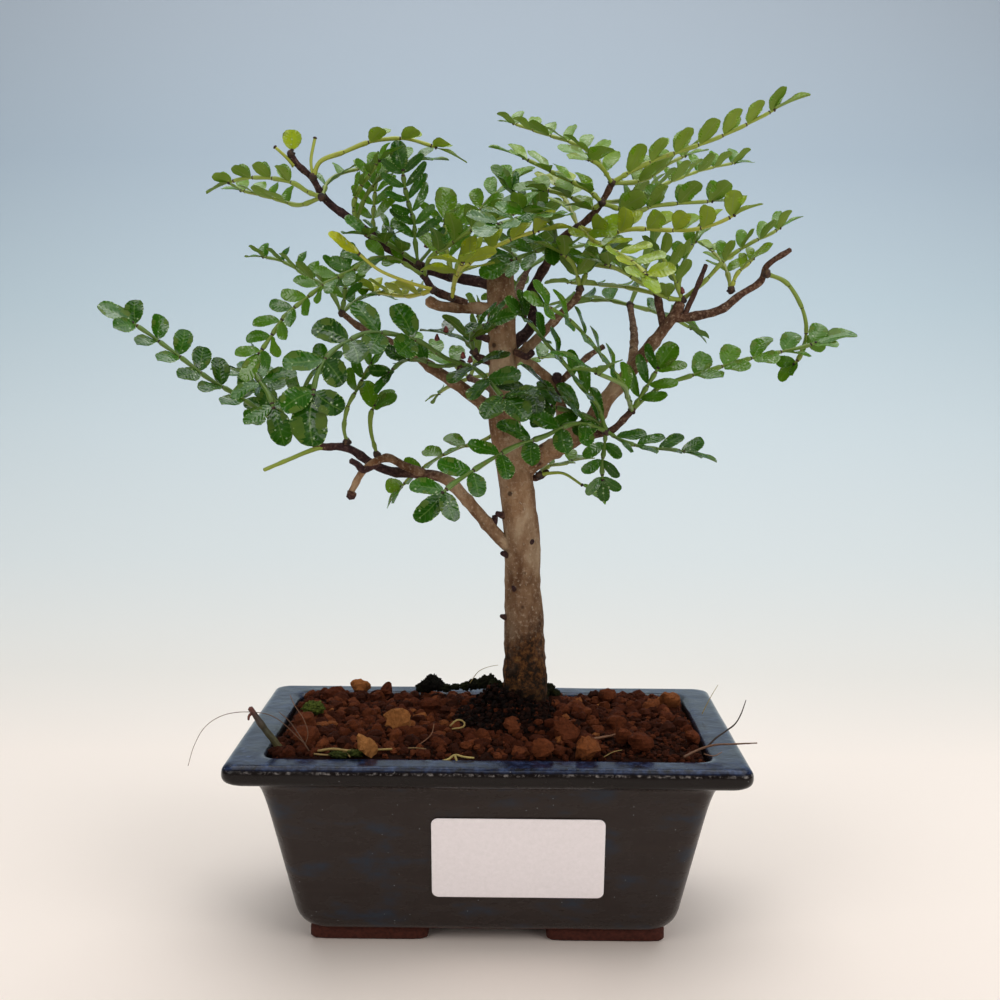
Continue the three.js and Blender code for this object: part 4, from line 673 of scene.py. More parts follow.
# The corners of a rib's section in the solids, to its right and up
SOLID_RIB_CORNERS = np.array([(-0.55, -0.45), (-0.55, 0.45), (0.55, -0.45), (0.55, 0.45)])
SPRAYS = {
    "leaves_far_left_high": ((322, 197, -2.7), 0.5, [
        leaf([(308, 192), (293, 183), (269, 178), (241, 179), (209, 190)],
             -2, 4, 6.6, 0.1, bare=0.35, end=8, fold=55),
        leaf([(299, 205), (276, 199), (256, 194), (226, 187)], 18, 3, 7.4, 0.25, bare=0.4, fold=40),
        leaf([(329, 181), (349, 171), (374, 168)], 16, 3, 6.8, 0.2, bare=0.25, fold=35),
    ]),
    "leaves_left_arch": ((313, 177, -2.7), 0.72, [
        leaf([(321, 161), (344, 152), (366, 143), (387, 139), (407, 139), (426, 144), (460, 156)],
             -5, 3, 7.8, 0.1, bare=0.5, end=9.5, fold=35),
        leaf([(311, 160), (315, 138)], 0, 0, 7.2, 0.8, end=0),
    ]),
    "leaf_left_tip": ((291, 154, 0), 0.8, [
        leaf([(292, 151), (292, 150)], 0, 0, 7, 0.85, bare=0.5, end=6.6, aspect=0.9),
    ]),
    "leaves_left_high": ((356, 222, -2.9), 0.38, [
        leaf([(354, 203), (362, 185), (372, 172), (380, 160), (400, 152)],
             -12, 4, 9, 0.45, bare=0.35, fold=22),
        leaf([(366, 196), (384, 174), (408, 162), (442, 158)], -16, 4, 9, 0.4, bare=0.42, fold=20),
    ]),
    "leaves_left_high_back": ((376, 239, 3), 0.42, [
        leaf([(373, 222), (375, 194), (375, 172), (370, 156)], 14, 4, 8.4, 0.3),
        leaf([(386, 236), (394, 225), (402, 212)], 8, 2, 8.4, 0.3),
    ]),
    "leaves_left_upright": ((418, 264, 0.5), 0.2, [
        leaf([(415, 240), (414, 222), (409, 205), (405, 188), (402, 168), (396, 145)],
             -8, 6, 9.4, 0.62, bare=0.26, fold=20),
        leaf([(392, 246), (370, 236), (347, 232)], -20, 3, 9, 0.45, fold=35),
        leaf([(430, 250), (436, 240)], 2, 0, 3.6, 0.8, end=4.8),
    ]),
    "leaves_left_long_front": ((424, 276, -2), 0.36, [
        leaf([(395, 259), (372, 259), (350, 271), (325, 284), (304, 300), (285, 316), (270, 338),
              (257, 357), (247, 374)], -14, 11, 9, 0.6, bare=0.12, spread=58, fold=20),
        leaf([(430, 258), (448, 246), (472, 230), (506, 216), (545, 207)],
             -32, 5, 10.8, 0.15, bare=0.28, fold=48),
    ]),
    "leaf_left_yellow": ((434, 290, -6.1), 1, [
        leaf([(405, 281), (379, 270), (359, 254)], -16, 0, 9, 0.8, bare=0.9, end=11, aspect=0.36),
        leaf([(410, 296), (388, 294), (360, 288)], 22, 3, 8.2, 0.1, bare=0.2, fold=50),
    ]),
    "leaves_lime_middle": ((452, 298, -6.2), 0.88, [
        leaf([(456, 278), (470, 263), (486, 252), (501, 244), (530, 233), (564, 226)],
             -30, 4, 9.6, 0.1, bare=0.35, fold=50),
        leaf([(455, 280), (461, 266), (468, 252)], -34, 2, 11, 0.35, bare=0.6, end=9, spread=76, fold=15),
    ]),
    "leaves_upper_left_middle": ((453, 277, 1.5), 0.5, [
        leaf([(446, 248), (445, 222), (447, 194)], -8, 4, 10.4, 0.4, fold=20, aspect=0.7),
        leaf([(463, 250), (477, 214), (500, 190), (527, 168)], 8, 5, 9.4, 0.3),
    ]),
    "leaves_left_twig_end": ((342, 313, 5), 0.32, [
        leaf([(329, 290), (304, 274), (290, 265), (275, 259), (249, 255)],
             30, 5, 7.2, 0.1, bare=0.2, fold=50),
        leaf([(345, 292), (346, 270), (353, 250)], -2, 3, 8.6, 0.5),
        leaf([(357, 300), (374, 294), (392, 297)], 20, 2, 8.4, 0.3),
    ]),
    "leaves_front_left": ((462, 364, -6), 0.12, [
        leaf([(444, 357), (416, 340), (374, 332), (348, 341), (326, 358), (314, 388), (315, 436)],
             -45, 4, 11.4, 0.75, end=15.2, spread=58, fold=14, aspect=0.72),
        leaf([(438, 366), (418, 360), (402, 362), (388, 375), (380, 390)],
             -12, 3, 7.4, 0.5, bare=0.45, fold=40),
        leaf([(474, 368), (488, 380), (502, 396), (522, 412)], -38, 2, 11.6, 0.8, bare=0.2, fold=12),
    ]),
    "leaves_left_of_trunk": ((474, 351, -4), 0.1, [
        leaf([(471, 335), (484, 325), (510, 316)], -18, 3, 9.8, 0.6, fold=20),
        leaf([(462, 338), (448, 334), (430, 328)], 12, 2, 9, 0.4),
    ]),
    "leaves_lower_left_long": ((296, 432, 0), 0.2, [
        leaf([(268, 416), (240, 397), (208, 378), (183, 359), (160, 342), (139, 327), (108, 308)],
             -10, 7, 9.2, 0.6, bare=0.18, end=10.4, spread=62, fold=22, aspect=0.74),
        leaf([(272, 398), (256, 372), (259, 380), (270, 398), (283, 440)],
             -46, 2, 10.8, 0.75, bare=0.5, end=13.4, spread=75, fold=5, aspect=0.52),
        leaf([(276, 412), (263, 386), (246, 372), (222, 366)], 14, 3, 9.4, 0.2, spread=60, fold=12),
        leaf([(297, 408), (312, 374), (336, 357)], -14, 2, 9, 0.7, bare=0.5),
    ]),
    "leaf_lower_left_upright": ((347, 442, 0), 0.35, [
        leaf([(344, 428), (348, 406), (358, 388), (370, 366), (384, 348)],
             -4, 3, 7.6, 0.5, bare=0.6, fold=35),
    ]),
    "leaf_lower_left_second": ((377, 455, 0), 0.42, [
        leaf([(371, 432), (371, 414), (377, 404), (394, 394)], 4, 1, 8.8, 0.5, bare=0.75, fold=30),
    ]),
    "leaves_front_middle": ((606, 431, -9), 0.18, [
        leaf([(585, 424), (568, 425), (545, 436), (516, 446), (490, 460), (468, 474), (448, 488),
              (423, 513)], -56, 6, 10.6, 0.8, bare=0.12, spread=56, fold=10, aspect=0.56),
        leaf([(597, 405), (582, 388), (567, 367), (548, 345), (532, 325), (510, 302)],
             -46, 4, 8.6, 0.6, lean=0.4),
        leaf([(604, 450), (602, 468), (604, 497)], -10, 3, 7.2, 0.7, bare=0.2, end=6.5),
        leaf([(625, 442), (650, 448), (675, 450), (709, 457)],
             -14, 4, 9.4, 0.4, bare=0.12, spread=44, fold=30),
        leaf([(594, 420), (574, 412), (550, 406), (522, 398)], -34, 3, 11.6, 0.75, bare=0.15, fold=10),
    ]),
    "leaves_centre_dark": ((557, 396, -8.7), 0.04, [
        leaf([(547, 388), (532, 390), (512, 402)],
             -30, 2, 11, 0.75, bare=0.35, end=8, fold=12, aspect=0.56),
    ]),
    "leaves_right_front": ((632, 410, -6), 0.32, [
        leaf([(648, 396), (664, 385), (690, 376), (720, 367), (752, 358), (780, 352), (806, 346),
              (848, 332)], -8, 5, 9.8, 0.5, bare=0.36, end=12.6, spread=48, fold=18, aspect=0.72),
        leaf([(624, 388), (610, 366), (597, 350), (583, 333), (567, 318), (550, 308), (528, 296)],
             -44, 5, 9.6, 0.55, lean=0.5, bare=0.12, fold=18),
        leaf([(628, 398), (624, 386), (604, 376), (577, 366)],
             -38, 1, 13, 0.2, bare=0.5, end=13.4, aspect=0.42),
        leaf([(641, 396), (651, 380), (661, 364), (674, 347)],
             -24, 3, 9.8, 0.7, bare=0.25, fold=12, aspect=0.78),
    ]),
    "leaves_right_fork": ((682, 300, 0), 0.5, [
        leaf([(705, 281), (725, 260), (751, 243), (772, 233), (796, 217)],
             6, 3, 7.6, 0.05, bare=0.45, fold=50, aspect=0.5),
        leaf([(674, 278), (665, 262), (646, 236)], -10, 3, 8.6, -0.1, bare=0.35, fold=40),
        leaf([(679, 280), (689, 251), (707, 228)], 10, 3, 7.8, -0.1, bare=0.4, fold=50, aspect=0.55),
        leaf([(665, 297), (645, 285), (615, 268), (583, 256)], -16, 4, 9.6, 0.1, bare=0.2, fold=30),
    ]),
    "leaves_right_stub": ((657, 294, 3), 0.55, [
        leaf([(625, 287), (590, 284), (550, 281)], 28, 2, 8.4, 0.1, bare=0.35, fold=10),
        leaf([(638, 272), (612, 268), (580, 262), (543, 258)], 14, 4, 9.2, 0.1, fold=30),
    ]),
    "leaves_right_branch": ((731, 290, 0), 0.72, [
        leaf([(727, 272), (718, 258), (702, 240)], 20, 3, 6.6, 0.1, bare=0.4, spread=58, fold=24),
        leaf([(737, 274), (751, 261), (767, 245)], 10, 2, 7.4, 0.1, bare=0.55, fold=30),
    ]),
    "leaf_right_drooping": ((767, 274, -2.8), 0.44, [
        leaf([(784, 281), (795, 294), (804, 314), (806, 334), (799, 358), (781, 376)],
             -10, 2, 6.6, 0.4, lean=0.3, bare=0.7, fold=45),
    ]),
    "leaves_centre_right": ((580, 289, -4), 0.5, [
        leaf([(574, 266), (560, 253), (538, 246)], -12, 2, 9.6, -0.1, fold=30),
        leaf([(590, 266), (604, 254), (632, 246)], -14, 3, 9.4, 0.1, fold=30),
    ]),
    "leaves_top_right": ((612, 183, 0), 0.6, [
        leaf([(630, 172), (655, 160), (681, 151), (707, 142), (733, 131), (761, 117), (801, 95)],
             -6, 7, 9.4, 0.05, bare=0.1, end=11, spread=48, fold=56, aspect=0.82),
        leaf([(636, 182), (652, 176), (672, 162), (702, 149)], 20, 4, 8.4, 0.1, fold=50),
        leaf([(602, 168), (590, 160), (572, 158)], -20, 1, 11, 0.2, end=10),
        leaf([(600, 164), (590, 152), (570, 142), (545, 134), (521, 126), (501, 119)],
             38, 5, 7.8, 0.2, bare=0.1, fold=40),
    ]),
    "leaves_upper_middle": ((602, 203, -0.9), 0.55, [
        leaf([(630, 199), (655, 188), (680, 178), (706, 169), (749, 160)],
             52, 4, 9, 0.1, bare=0.18, fold=55),
        leaf([(632, 212), (655, 206), (685, 203), (735, 200)],
             6, 4, 9, 0.05, bare=0.15, fold=60, aspect=0.76),
        leaf([(588, 190), (560, 176), (530, 161), (499, 147)], -8, 4, 10, 0.35, bare=0.15, fold=18),
        leaf([(590, 208), (568, 196), (544, 190), (518, 188)], -18, 3, 9.8, 0.3, bare=0.15),
    ]),
    "leaves_long_yellow": ((578, 227, 0.5), 0.8, [
        leaf([(604, 234), (634, 229), (663, 230), (690, 230), (718, 223), (757, 203)],
             -22, 6, 9, 0.05, bare=0.1, fold=58),
        leaf([(570, 208), (560, 192), (550, 174)], 20, 3, 9, 0.1),
        leaf([(598, 244), (622, 255), (640, 268), (654, 286)], -30, 3, 9.4, 0.3, bare=0.12, fold=30),
    ]),
    "leaves_top_left": ((558, 241, 1.9), 0.28, [
        leaf([(545, 225), (525, 208), (510, 190), (504, 166)], -18, 4, 9.8, 0.25),
        leaf([(550, 222), (536, 216), (512, 220), (484, 230)], -38, 3, 10.6, 0.5, fold=20),
        leaf([(545, 248), (528, 254), (508, 262), (486, 272)], -26, 3, 11, 0.6, bare=0.12, fold=12),
    ]),
    "leaves_back_lower": ((539, 475, 0), 0.55, [
        leaf([(549, 466), (566, 463), (588, 454)], 14, 2, 8.2, 0.3, bare=0.4),
        leaf([(552, 473), (565, 474), (582, 485)], -6, 0, 8, 0.4, bare=0.5, end=9),
        leaf([(545, 462), (549, 450)], 16, 0, 7, 0.5, end=6),
    ]),
    "leaf_lower_back_left": ((505, 428, 6.9), 0.5, [
        leaf([(480, 442), (458, 448), (438, 458), (410, 478), (388, 503)], 12, 4, 8.6, 0.4, bare=0.35),
    ]),
    "leaves_back_left": ((470, 378, 42), 0.45, [
        leaf([(455, 384), (443, 390), (434, 400)], 60, 1, 6, 0.6, bare=0.7),
        leaf([(450, 362), (425, 350), (398, 344)], 58, 2, 9.1, 0.4),
        leaf([(478, 352), (480, 325), (470, 300)], 66, 2, 9.1, -0.5),
        leaf([(500, 372), (530, 360), (560, 356)], 60, 2, 9.1, 0.4),
    ]),
    "leaves_back_middle": ((528, 268, 40), 0.3, [
        leaf([(505, 248), (480, 240), (450, 238)], 58, 2, 9.4, -0.3),
        leaf([(532, 240), (538, 215), (536, 190)], 56, 2, 9.4, -0.5),
        leaf([(556, 252), (590, 244), (620, 240)], 62, 2, 9.4, -0.3),
        leaf([(515, 285), (500, 300), (478, 308)], 66, 2, 9.4, 0.3),
    ]),
    "leaves_back_right": ((630, 305, 36), 0.35, [
        leaf([(640, 280), (652, 255), (658, 230)], 52, 2, 9.1, -0.5),
        leaf([(606, 300), (580, 302), (552, 308)], 56, 2, 9.1, 0.3),
        leaf([(655, 312), (680, 322), (705, 338)], 56, 2, 9.1, 0.5),
    ]),
}
# A bare leaf stalk beside the leaflet at the left tip: where it starts, and its rib
BARE_LEAF = ((294, 166, 0), leaf([[286, 157], [275, 147]], 0, 0, 7, 0.7, bare=0.5, end=0))
STATIONS_OF_LEAFLET = np.array([0.03, 0.09, 0.17, 0.26, 0.36, 0.46, 0.56, 0.66, 0.76, 0.86, 0.94, 0.985])
PLACES_OF_LEAFLET = np.array([-1, -0.5, 0, 0.5, 1, 0])


def leaflet_skins(root, frame, one, sideways, size, width, seeds, tint):
    """Leaflets. Each leaves the rib by the leaf's spread, in a pair folded up like a V. Its half width
    goes as u^0.6 (1-u)^0.42, scalloped in and out by a twentieth from station to station. The blade
    droops by 0.12 u², its edges rise as v², it waves a little, and it is 0.3 mm thick at its midrib and
    nothing at its edge."""
    along, top, side = frame
    sideways = sideways[:, None]
    fold = one["fold"] * np.abs(sideways)
    spread = np.abs(sideways) * (one["spread"] + math.radians(10) * (draw(seeds)[:, None] - 0.5))
    wing = side * sideways * np.cos(fold) + top * np.sin(fold)
    out = along * np.cos(spread) + wing * np.sin(spread)
    upper = top * np.cos(fold) - side * sideways * np.sin(fold)
    twist = LEAFLET_TWIST * (2 * draw(seeds + 1)[:, None] - 1)
    reach = (size * (0.9 + 0.2 * draw(seeds + 2)))[:, None, None]
    across = np.cross(out, upper) * np.cos(twist) + upper * np.sin(twist)
    facing = unit(np.cross(across, out))
    u = STATIONS_OF_LEAFLET[None, :, None]
    v = PLACES_OF_LEAFLET[None, None, :]
    half = u ** 0.6 * (1 - u) ** 0.42 / 0.497 * (1 - 0.05 * (np.arange(u.size) % 2))[None, :, None]
    half = half * width[:, None, None] / 2
    wave = np.sin(2 * np.pi * (1.4 * u + draw(seeds + 3)[:, None, None]))
    rise = -0.12 * u ** 2 * reach + v ** 2 * (0.2 * half + 0.03 * reach * wave)
    rise = rise + 0.15 * np.array([0, 0.7, 0.8, 0.7, 0, -1.1])[None, None]
    bend = 0.06 * reach * np.sin(np.pi * u) * (2 * draw(seeds + 4)[:, None, None] - 1)
    rings = (root[:, None, None] + out[:, None, None] * (u * reach)[..., None]
             + across[:, None, None] * (half * v + bend)[..., None]
             + facing[:, None, None] * rise[..., None])
    tips = root + out * reach[:, 0] - facing * 0.12 * reach[:, 0]
    poles = np.stack([root, tips], axis=1)
    tints = np.clip(tint + 0.22 * (draw(seeds + 5) - 0.5), 0, 1)[:, None, None]
    return closed_skin(rings, poles, np.concatenate([[0], STATIONS_OF_LEAFLET, [1]]),
                       [0, 0.25, 0.5, 0.75, 1, 0.5, 0], kinds=[0, 0, 0, 0, 1, 1], tint=tints, rim=(0, 4))


def joint_skins(share, frame_at):
    """Brown knots on a rib at shares of its length: balls 0.9 mm along it, 1.4 mm across, 1.3 mm thick."""
    middle, along, top, side = (part[:, None, None] for part in frame_at(share))
    steep = (np.pi * (np.arange(3) + 1) / 4)[None, :, None, None]
    turn = np.linspace(0, 2 * np.pi, 6, endpoint=False)[None, None, :, None]
    rings = (middle - 0.45 * along * np.cos(steep) + 0.65 * top * np.sin(steep) * np.cos(turn)
             + 0.7 * side * np.sin(steep) * np.sin(turn))
    poles = np.concatenate([middle[:, 0] - 0.45 * along[:, 0], middle[:, 0] + 0.45 * along[:, 0]], axis=1)
    return closed_skin(rings, poles, np.linspace(0, 1, 5), np.linspace(0, 1, 7), kinds=3, tint=0.3)


def rib_line(bud, one):
    """A leaf's rib from its bud to its tip, as a smooth line with its lengths."""
    rib = np.array(one["rib"], float)
    shares = (np.arange(len(rib)) + 1) / len(rib)
    depths = bud[2] + (one["tip"] - bud[2]) * shares
    return smooth_line(seen_at(np.vstack([bud, np.column_stack([rib, depths])])))


def rib_reach(one, length):
    """The share of the rib at which its end leaflet starts, so that the leaflet ends at the rib's tip."""
    return 1 - END_SHARE * one["end"] / length if one["pairs"] else 1.0


def rib_frame(line, lengths, one, share):
    """The rib at shares of its length: its middle, its direction, its upper side's and its right side's."""
    middle, along = on_line(line, lengths, share)
    rise = math.sqrt(max(1 - one["face"] ** 2 - one["lean"] ** 2, 0.04))
    top = np.array([one["lean"], -one["face"], rise])
    top = unit(top - along * (along @ top)[..., None])
    return middle, along, top, np.cross(along, top)


def settled(solid, bud, one):
    """The leaf with its tip as deep as in the solid that it replaces: of the shifts that a tip may have,
    the one whose last joint has the solid's points nearest to the four corners of its rib."""
    def away(moved):
        line, lengths = rib_line(bud, moved)
        length = lengths[-1]
        before_end = (LAST_PAIR_GAP - JOINT_HALF_LENGTH) / length if one["pairs"] else 0
        middle, _, top, side = rib_frame(line, lengths, one, rib_reach(one, length) - before_end)
        corners = middle + SOLID_RIB_CORNERS @ np.stack([side, top])
        return np.linalg.norm(solid - corners[:, None], axis=2).min(axis=1).mean()

    return min(({**one, "tip": one["tip"] + shift} for shift in TIP_SHIFTS), key=away)


def leaf_skins(bud, one, seed, tint):
    """A leaf's rib, winged between its joints, and its leaflets in opposite pairs with one at the tip."""
    line, lengths = rib_line(bud, one)
    length = lengths[-1]
    frame_at = partial(rib_frame, line, lengths, one)
    pairs, size = one["pairs"], one["size"]
    reach = rib_reach(one, length)
    first, last = one["bare"] * reach, reach - LAST_PAIR_GAP / length
    if pairs > 1:
        pairs = max(pairs, round((last - first) * length / size) + 1)
    places = np.linspace(first, last, pairs) if pairs > 1 else np.array([last] * pairs)
    gap = (last - first) / max(pairs - 1, 1)
    width = size * one["aspect"]
    if pairs > 1:
        width = min(width, gap * length * math.sin(one["spread"]) * 0.95)
    joint = JOINT_HALF_LENGTH / length
    stations = np.linspace(0, reach, max(int(length / 0.8), 6))
    middle, along, top, side = frame_at(stations)
    step = 8 / length if pairs < 2 else min(gap, 8 / length)
    bare_joints = np.arange(first - step, 0.1, -step)[::-1] if pairs else np.array([])
    turning = [(0, 0.75), (0.06, 0.5), (1, 0.5)] if not pairs else [(0, 0.75), (0.06, 0.48)]
    for place in bare_joints:
        turning += [(place - joint, 0.85), (place, 0.55), (place + joint, 0.55)]
    for place in places:
        turning += [(place - joint, 0.95), (place, 0.55), (place + joint, 0.45)]
    half = np.interp(stations, [p for p, _ in turning], [w for _, w in turning])
    thick = np.interp(stations, [0, 0.1, 0.5, 1], [0.85, 0.75, 0.6, 0.42]) * (0.4 + 0.9 * half)
    turn = np.linspace(0, 2 * np.pi, 6, endpoint=False)[None, :, None]
    rings = (middle[:, None] + top[:, None] * np.cos(turn) * thick[:, None, None]
             + side[:, None] * np.sin(turn) * half[:, None, None])
    ends = np.stack([middle[0], middle[-1] + along[-1] * 0.3])
    gone = np.concatenate([[0], stations, [1]])
    skins = [closed_skin(rings[None], ends[None], gone, np.linspace(0, 1, 7), kinds=2, tint=tint)]
    skins.append(joint_skins(np.concatenate([bare_joints, places, [reach]]), frame_at))
    shares, sideways, sizes, widths, numbers = [], [], [], [], []
    for pair, place in enumerate(places):
        shrink = 1 - 0.12 * pair / pairs
        for way, number in ((-1, pair * 2 + 1), (1, pair * 2 + 2)):
            shares.append(place + joint)
            sideways.append(way)
            sizes.append(size * shrink)
            widths.append(width * shrink)
            numbers.append(number)
    if one["end"] > 0:
        shares.append(reach)
        sideways.append(0)
        sizes.append(one["end"])
        widths.append(one["end"] * one["aspect"])
        numbers.append(40)
    if shares:
        middle, along, top, side = frame_at(np.array(shares))
        sideways = np.array(sideways, float)
        root = middle + side * 0.35 * sideways[:, None]
        skins.append(leaflet_skins(root, (along, top, side), one, sideways, np.array(sizes),
                                   np.array(widths), seed + np.array(numbers) * 7.0, tint))
    return skins


def bud_skin(middle, seed):
    """A knot of bud scales: a ball of the bud's radius, uneven by lumps."""
    ways = ball_ways(6, 10)
    reach = BUD_RADIUS * (0.86 + 0.28 * lumps(ways * 2 + seed, 0.8))
    rings = middle + ways * reach[..., None]
    poles = middle + np.array([[0, 0, -1], [0, 0, 1]]) * BUD_RADIUS * 0.9
    return closed_skin(rings[None], poles[None], np.linspace(0, 1, 8), np.linspace(0, 1, 11), kinds=3,
                       tint=draw(seed))


def make_foliage():
    """Each spray of leaves in place of its solid."""
    finishes = [leaf_upper(), leaf_under(), leaf_rib(), bud_scale()]
    for number, (name, (bud, youth, leaves)) in enumerate(SPRAYS.items()):
        solid = np.array([point.co for point in frame["nodes"][name].data.vertices]) / MM - POT_MIDDLE
        skins = [bud_skin(seen_at(bud), number + 2.5)]
        for place, one in enumerate(leaves):
            skins += leaf_skins(bud, settled(solid, bud, one), (number + 1) * 400 + place * 60, youth)
        if name == "leaf_left_tip":
            skins += leaf_skins(*BARE_LEAF, 70, youth)
        make_piece(name.replace("lea", "green_lea"), skins, finishes, [name])


# Small growth on and round the soil
FIBRES = {
    # name: (points in the view, radius at the root, at the tip, shade)
    "hair_over_rim_left": ([(306, 745, -32), (276, 718, -30), (250, 712, -33), (224, 715, -38),
        (205, 727, -44), (194, 746, -48), (188, 766, -50)], 0.13, 0.08, 0.4),
    "fibre_left_brown": ([(309, 751, -34), (301, 738, -33), (290, 722, -31),
        (279, 712, -30)], 0.2, 0.1, 0.35),
    "fibre_left_red": ([(305, 745, -31), (308, 733, -31), (303, 718, -31), (295, 706, -30),
        (290, 695, -29)], 0.16, 0.1, 0.5),
    "fibre_straw": ([(318, 751, -35), (333, 749, -36), (352, 751, -36), (372, 750, -35),
        (392, 749, -34)], 0.42, 0.3, 0.85),
    "fibre_straw_low": ([(314, 754, -36), (330, 755, -37), (345, 752, -36),
        (350, 757, -38)], 0.3, 0.2, 0.8),
    "root_pale_front": ([(436, 762, -38), (447, 760, -39), (455, 755, -38), (464, 757, -39),
        (474, 758, -39)], 0.42, 0.3, 1.0),
    "root_pale_fork": ([(455, 756, -39), (457, 762, -40), (458, 767, -41)], 0.36, 0.25, 1.0),
    "fibre_green_loop": ([(450, 726, -18), (457, 720, -17), (464, 722, -17), (463, 727, -19),
        (452, 729, -20)], 0.3, 0.25, 0.9),
    "fibre_middle": ([(420, 744, -32), (428, 738, -31), (432, 733, -30),
        (434, 724, -27)], 0.16, 0.1, 0.6),
    "fibre_middle_long": ([(408, 748, -34), (418, 748, -34), (426, 749, -35)], 0.16, 0.12, 0.75),
    "hair_left_of_trunk": ([(470, 683, 14), (478, 672, 15), (488, 667, 16),
        (498, 665, 17)], 0.14, 0.07, 0.95),
    "hair_soil_left": ([(484, 712, -6), (488, 702, -5), (492, 696, -4)], 0.12, 0.08, 0.7),
    "root_dark_right": ([(708, 746, -30), (716, 738, -29), (726, 731, -28), (735, 724, -28),
        (741, 714, -28), (746, 700, -28)], 0.32, 0.14, 0.12),
    "stalk_brown_right": ([(684, 757, -36), (698, 750, -34), (714, 745, -34), (735, 744, -36),
        (757, 743, -39)], 0.42, 0.2, 0.45),
    "fibre_pale_right": ([(702, 714, 8), (708, 702, 8), (713, 693, 8),
        (718, 685, 8)], 0.14, 0.08, 0.95),
    "straw_right": ([(592, 739, -24), (604, 737, -24), (614, 735, -23),
        (622, 732, -22)], 0.4, 0.3, 0.6),
    "fibre_right_front": ([(604, 757, -36), (613, 752, -35), (622, 750, -34)], 0.15, 0.1, 0.85),
    "fibre_right_corner": ([(704, 754, -36), (714, 756, -37), (722, 752, -36)], 0.18, 0.12, 0.55),
}
MOSS = [
    # (across, down, depth, width, height, tint)
    (433, 680, 27, 2.3, 2.4, 0.0), (427, 684, 26, 2.4, 2.0, 0.0), (421, 687, 26, 1.8, 1.3, 0.05),
    (438, 684, 25, 2.2, 1.8, 0.0), (446, 687, 24, 1.8, 1.2, 0.1), (456, 686, 22, 1.5, 1.0, 0.1),
    (466, 685, 20, 1.9, 1.3, 0.15), (474, 683, 19, 2.0, 1.7, 0.05), (481, 682, 14, 1.8, 1.6, 0.1),
    (489, 680, 12, 2.4, 2.2, 0.05), (496, 684, 6, 2.2, 2.2, 0.12), (503, 688, 2, 2.2, 2.0, 0.05),
    (549, 688, 6, 1.9, 1.8, 0.1), (555, 692, 5, 1.6, 1.2, 0.15), (544, 693, 0, 1.5, 1.2, 0.1),
    (314, 706, 0, 3.3, 1.9, 1.0), (340, 753, -36, 3.0, 1.0, 0.5), (356, 752, -36, 2.6, 0.9, 0.6),
]
RED_BUDS = [
    (427, 247, 2), (437, 340, -1), (446, 332, -2), (682, 293, -1), (463, 358, -6), (470, 362, -6),
    (299, 431, -1),
]
PETIOLE = [(330, 446, 0), (312, 450, -1), (290, 459, -3), (278, 464, -4), (264, 470, -4)]


def tufted(middle, width, height, tint, seed):
    """A tuft: a squat ball whose surface stands out and in by fine lumps, as moss does."""
    ways = ball_ways(26, 40)
    wide, narrow = lumps(ways * 3 + seed, 1.1), lumps(ways * 3 + seed, 0.4)
    reach = 1 + 0.3 * wide + 0.26 * narrow + 0.2 * lumps(ways * 3, 0.2)
    rings = middle + ways * reach[..., None] * [width, width * 0.8, height]
    poles = middle + np.array([[0, 0, -height], [0, 0, height]])
    return closed_skin(rings[None], poles[None], np.linspace(0, 1, 28), np.linspace(0, 1, 41), tint=tint)


def make_growth():
    """Moss, fibres and root hairs on the soil, the dry twig, the bare leaf stalk and the small red buds."""
    tufts = []
    for number, (across, down, depth, width, height, tint) in enumerate(MOSS):
        middle = seen_at((across, down, depth)) - [0, 0, 0.3 * height]
        tufts.append(tufted(middle, width, height, tint, 3.0 * number))
    make_piece("moss", tufts, [moss()])
    hairs = [limb(seen_at(points), (root, tip), (shade, shade), 200 + number, 6, 0.8, rough=0.12)
             for number, (points, root, tip, shade) in enumerate(FIBRES.values())]
    make_piece("fibres", hairs, [fibre()])
    twig = limb(seen_at([(284, 764, -30), (282, 752, -30), (264, 728, -32), (250, 708, -33)]),
                (1.1, 1.05, 0.8), (0.3, 0.2, 0.6, 1.0), 300, 12, 0.5, knots=0.2, rough=0.1)
    tip = limb(seen_at([(252, 713, -32.6), (249, 716, -33.4), (248.5, 720, -33.8)]), (0.5, 0.3),
               (1.0, 1.0), 304, 8, 0.4)
    make_piece("dry_twig", [twig, tip], [twig_bark()], ["twig"])
    stalk = limb(seen_at(PETIOLE), (0.75, 0.7, 0.62), (0.45, 0.5, 0.6), 310, 10, 0.5, knots=0.12,
                 rough=0.05)
    make_piece("bare_leaf_stalk", [stalk], [leaf_rib()])
    buds = [limb(seen_at([(across, down, depth), (across, down - 3, depth), (across, down - 6, depth)]),
                 (0.9, 0.75, 0.3), (1.0, 1.0), 320 + number, 8, 0.3, rough=0.2)
            for number, (across, down, depth) in enumerate(RED_BUDS)]
    make_piece("red_buds", buds, [red_bud()])


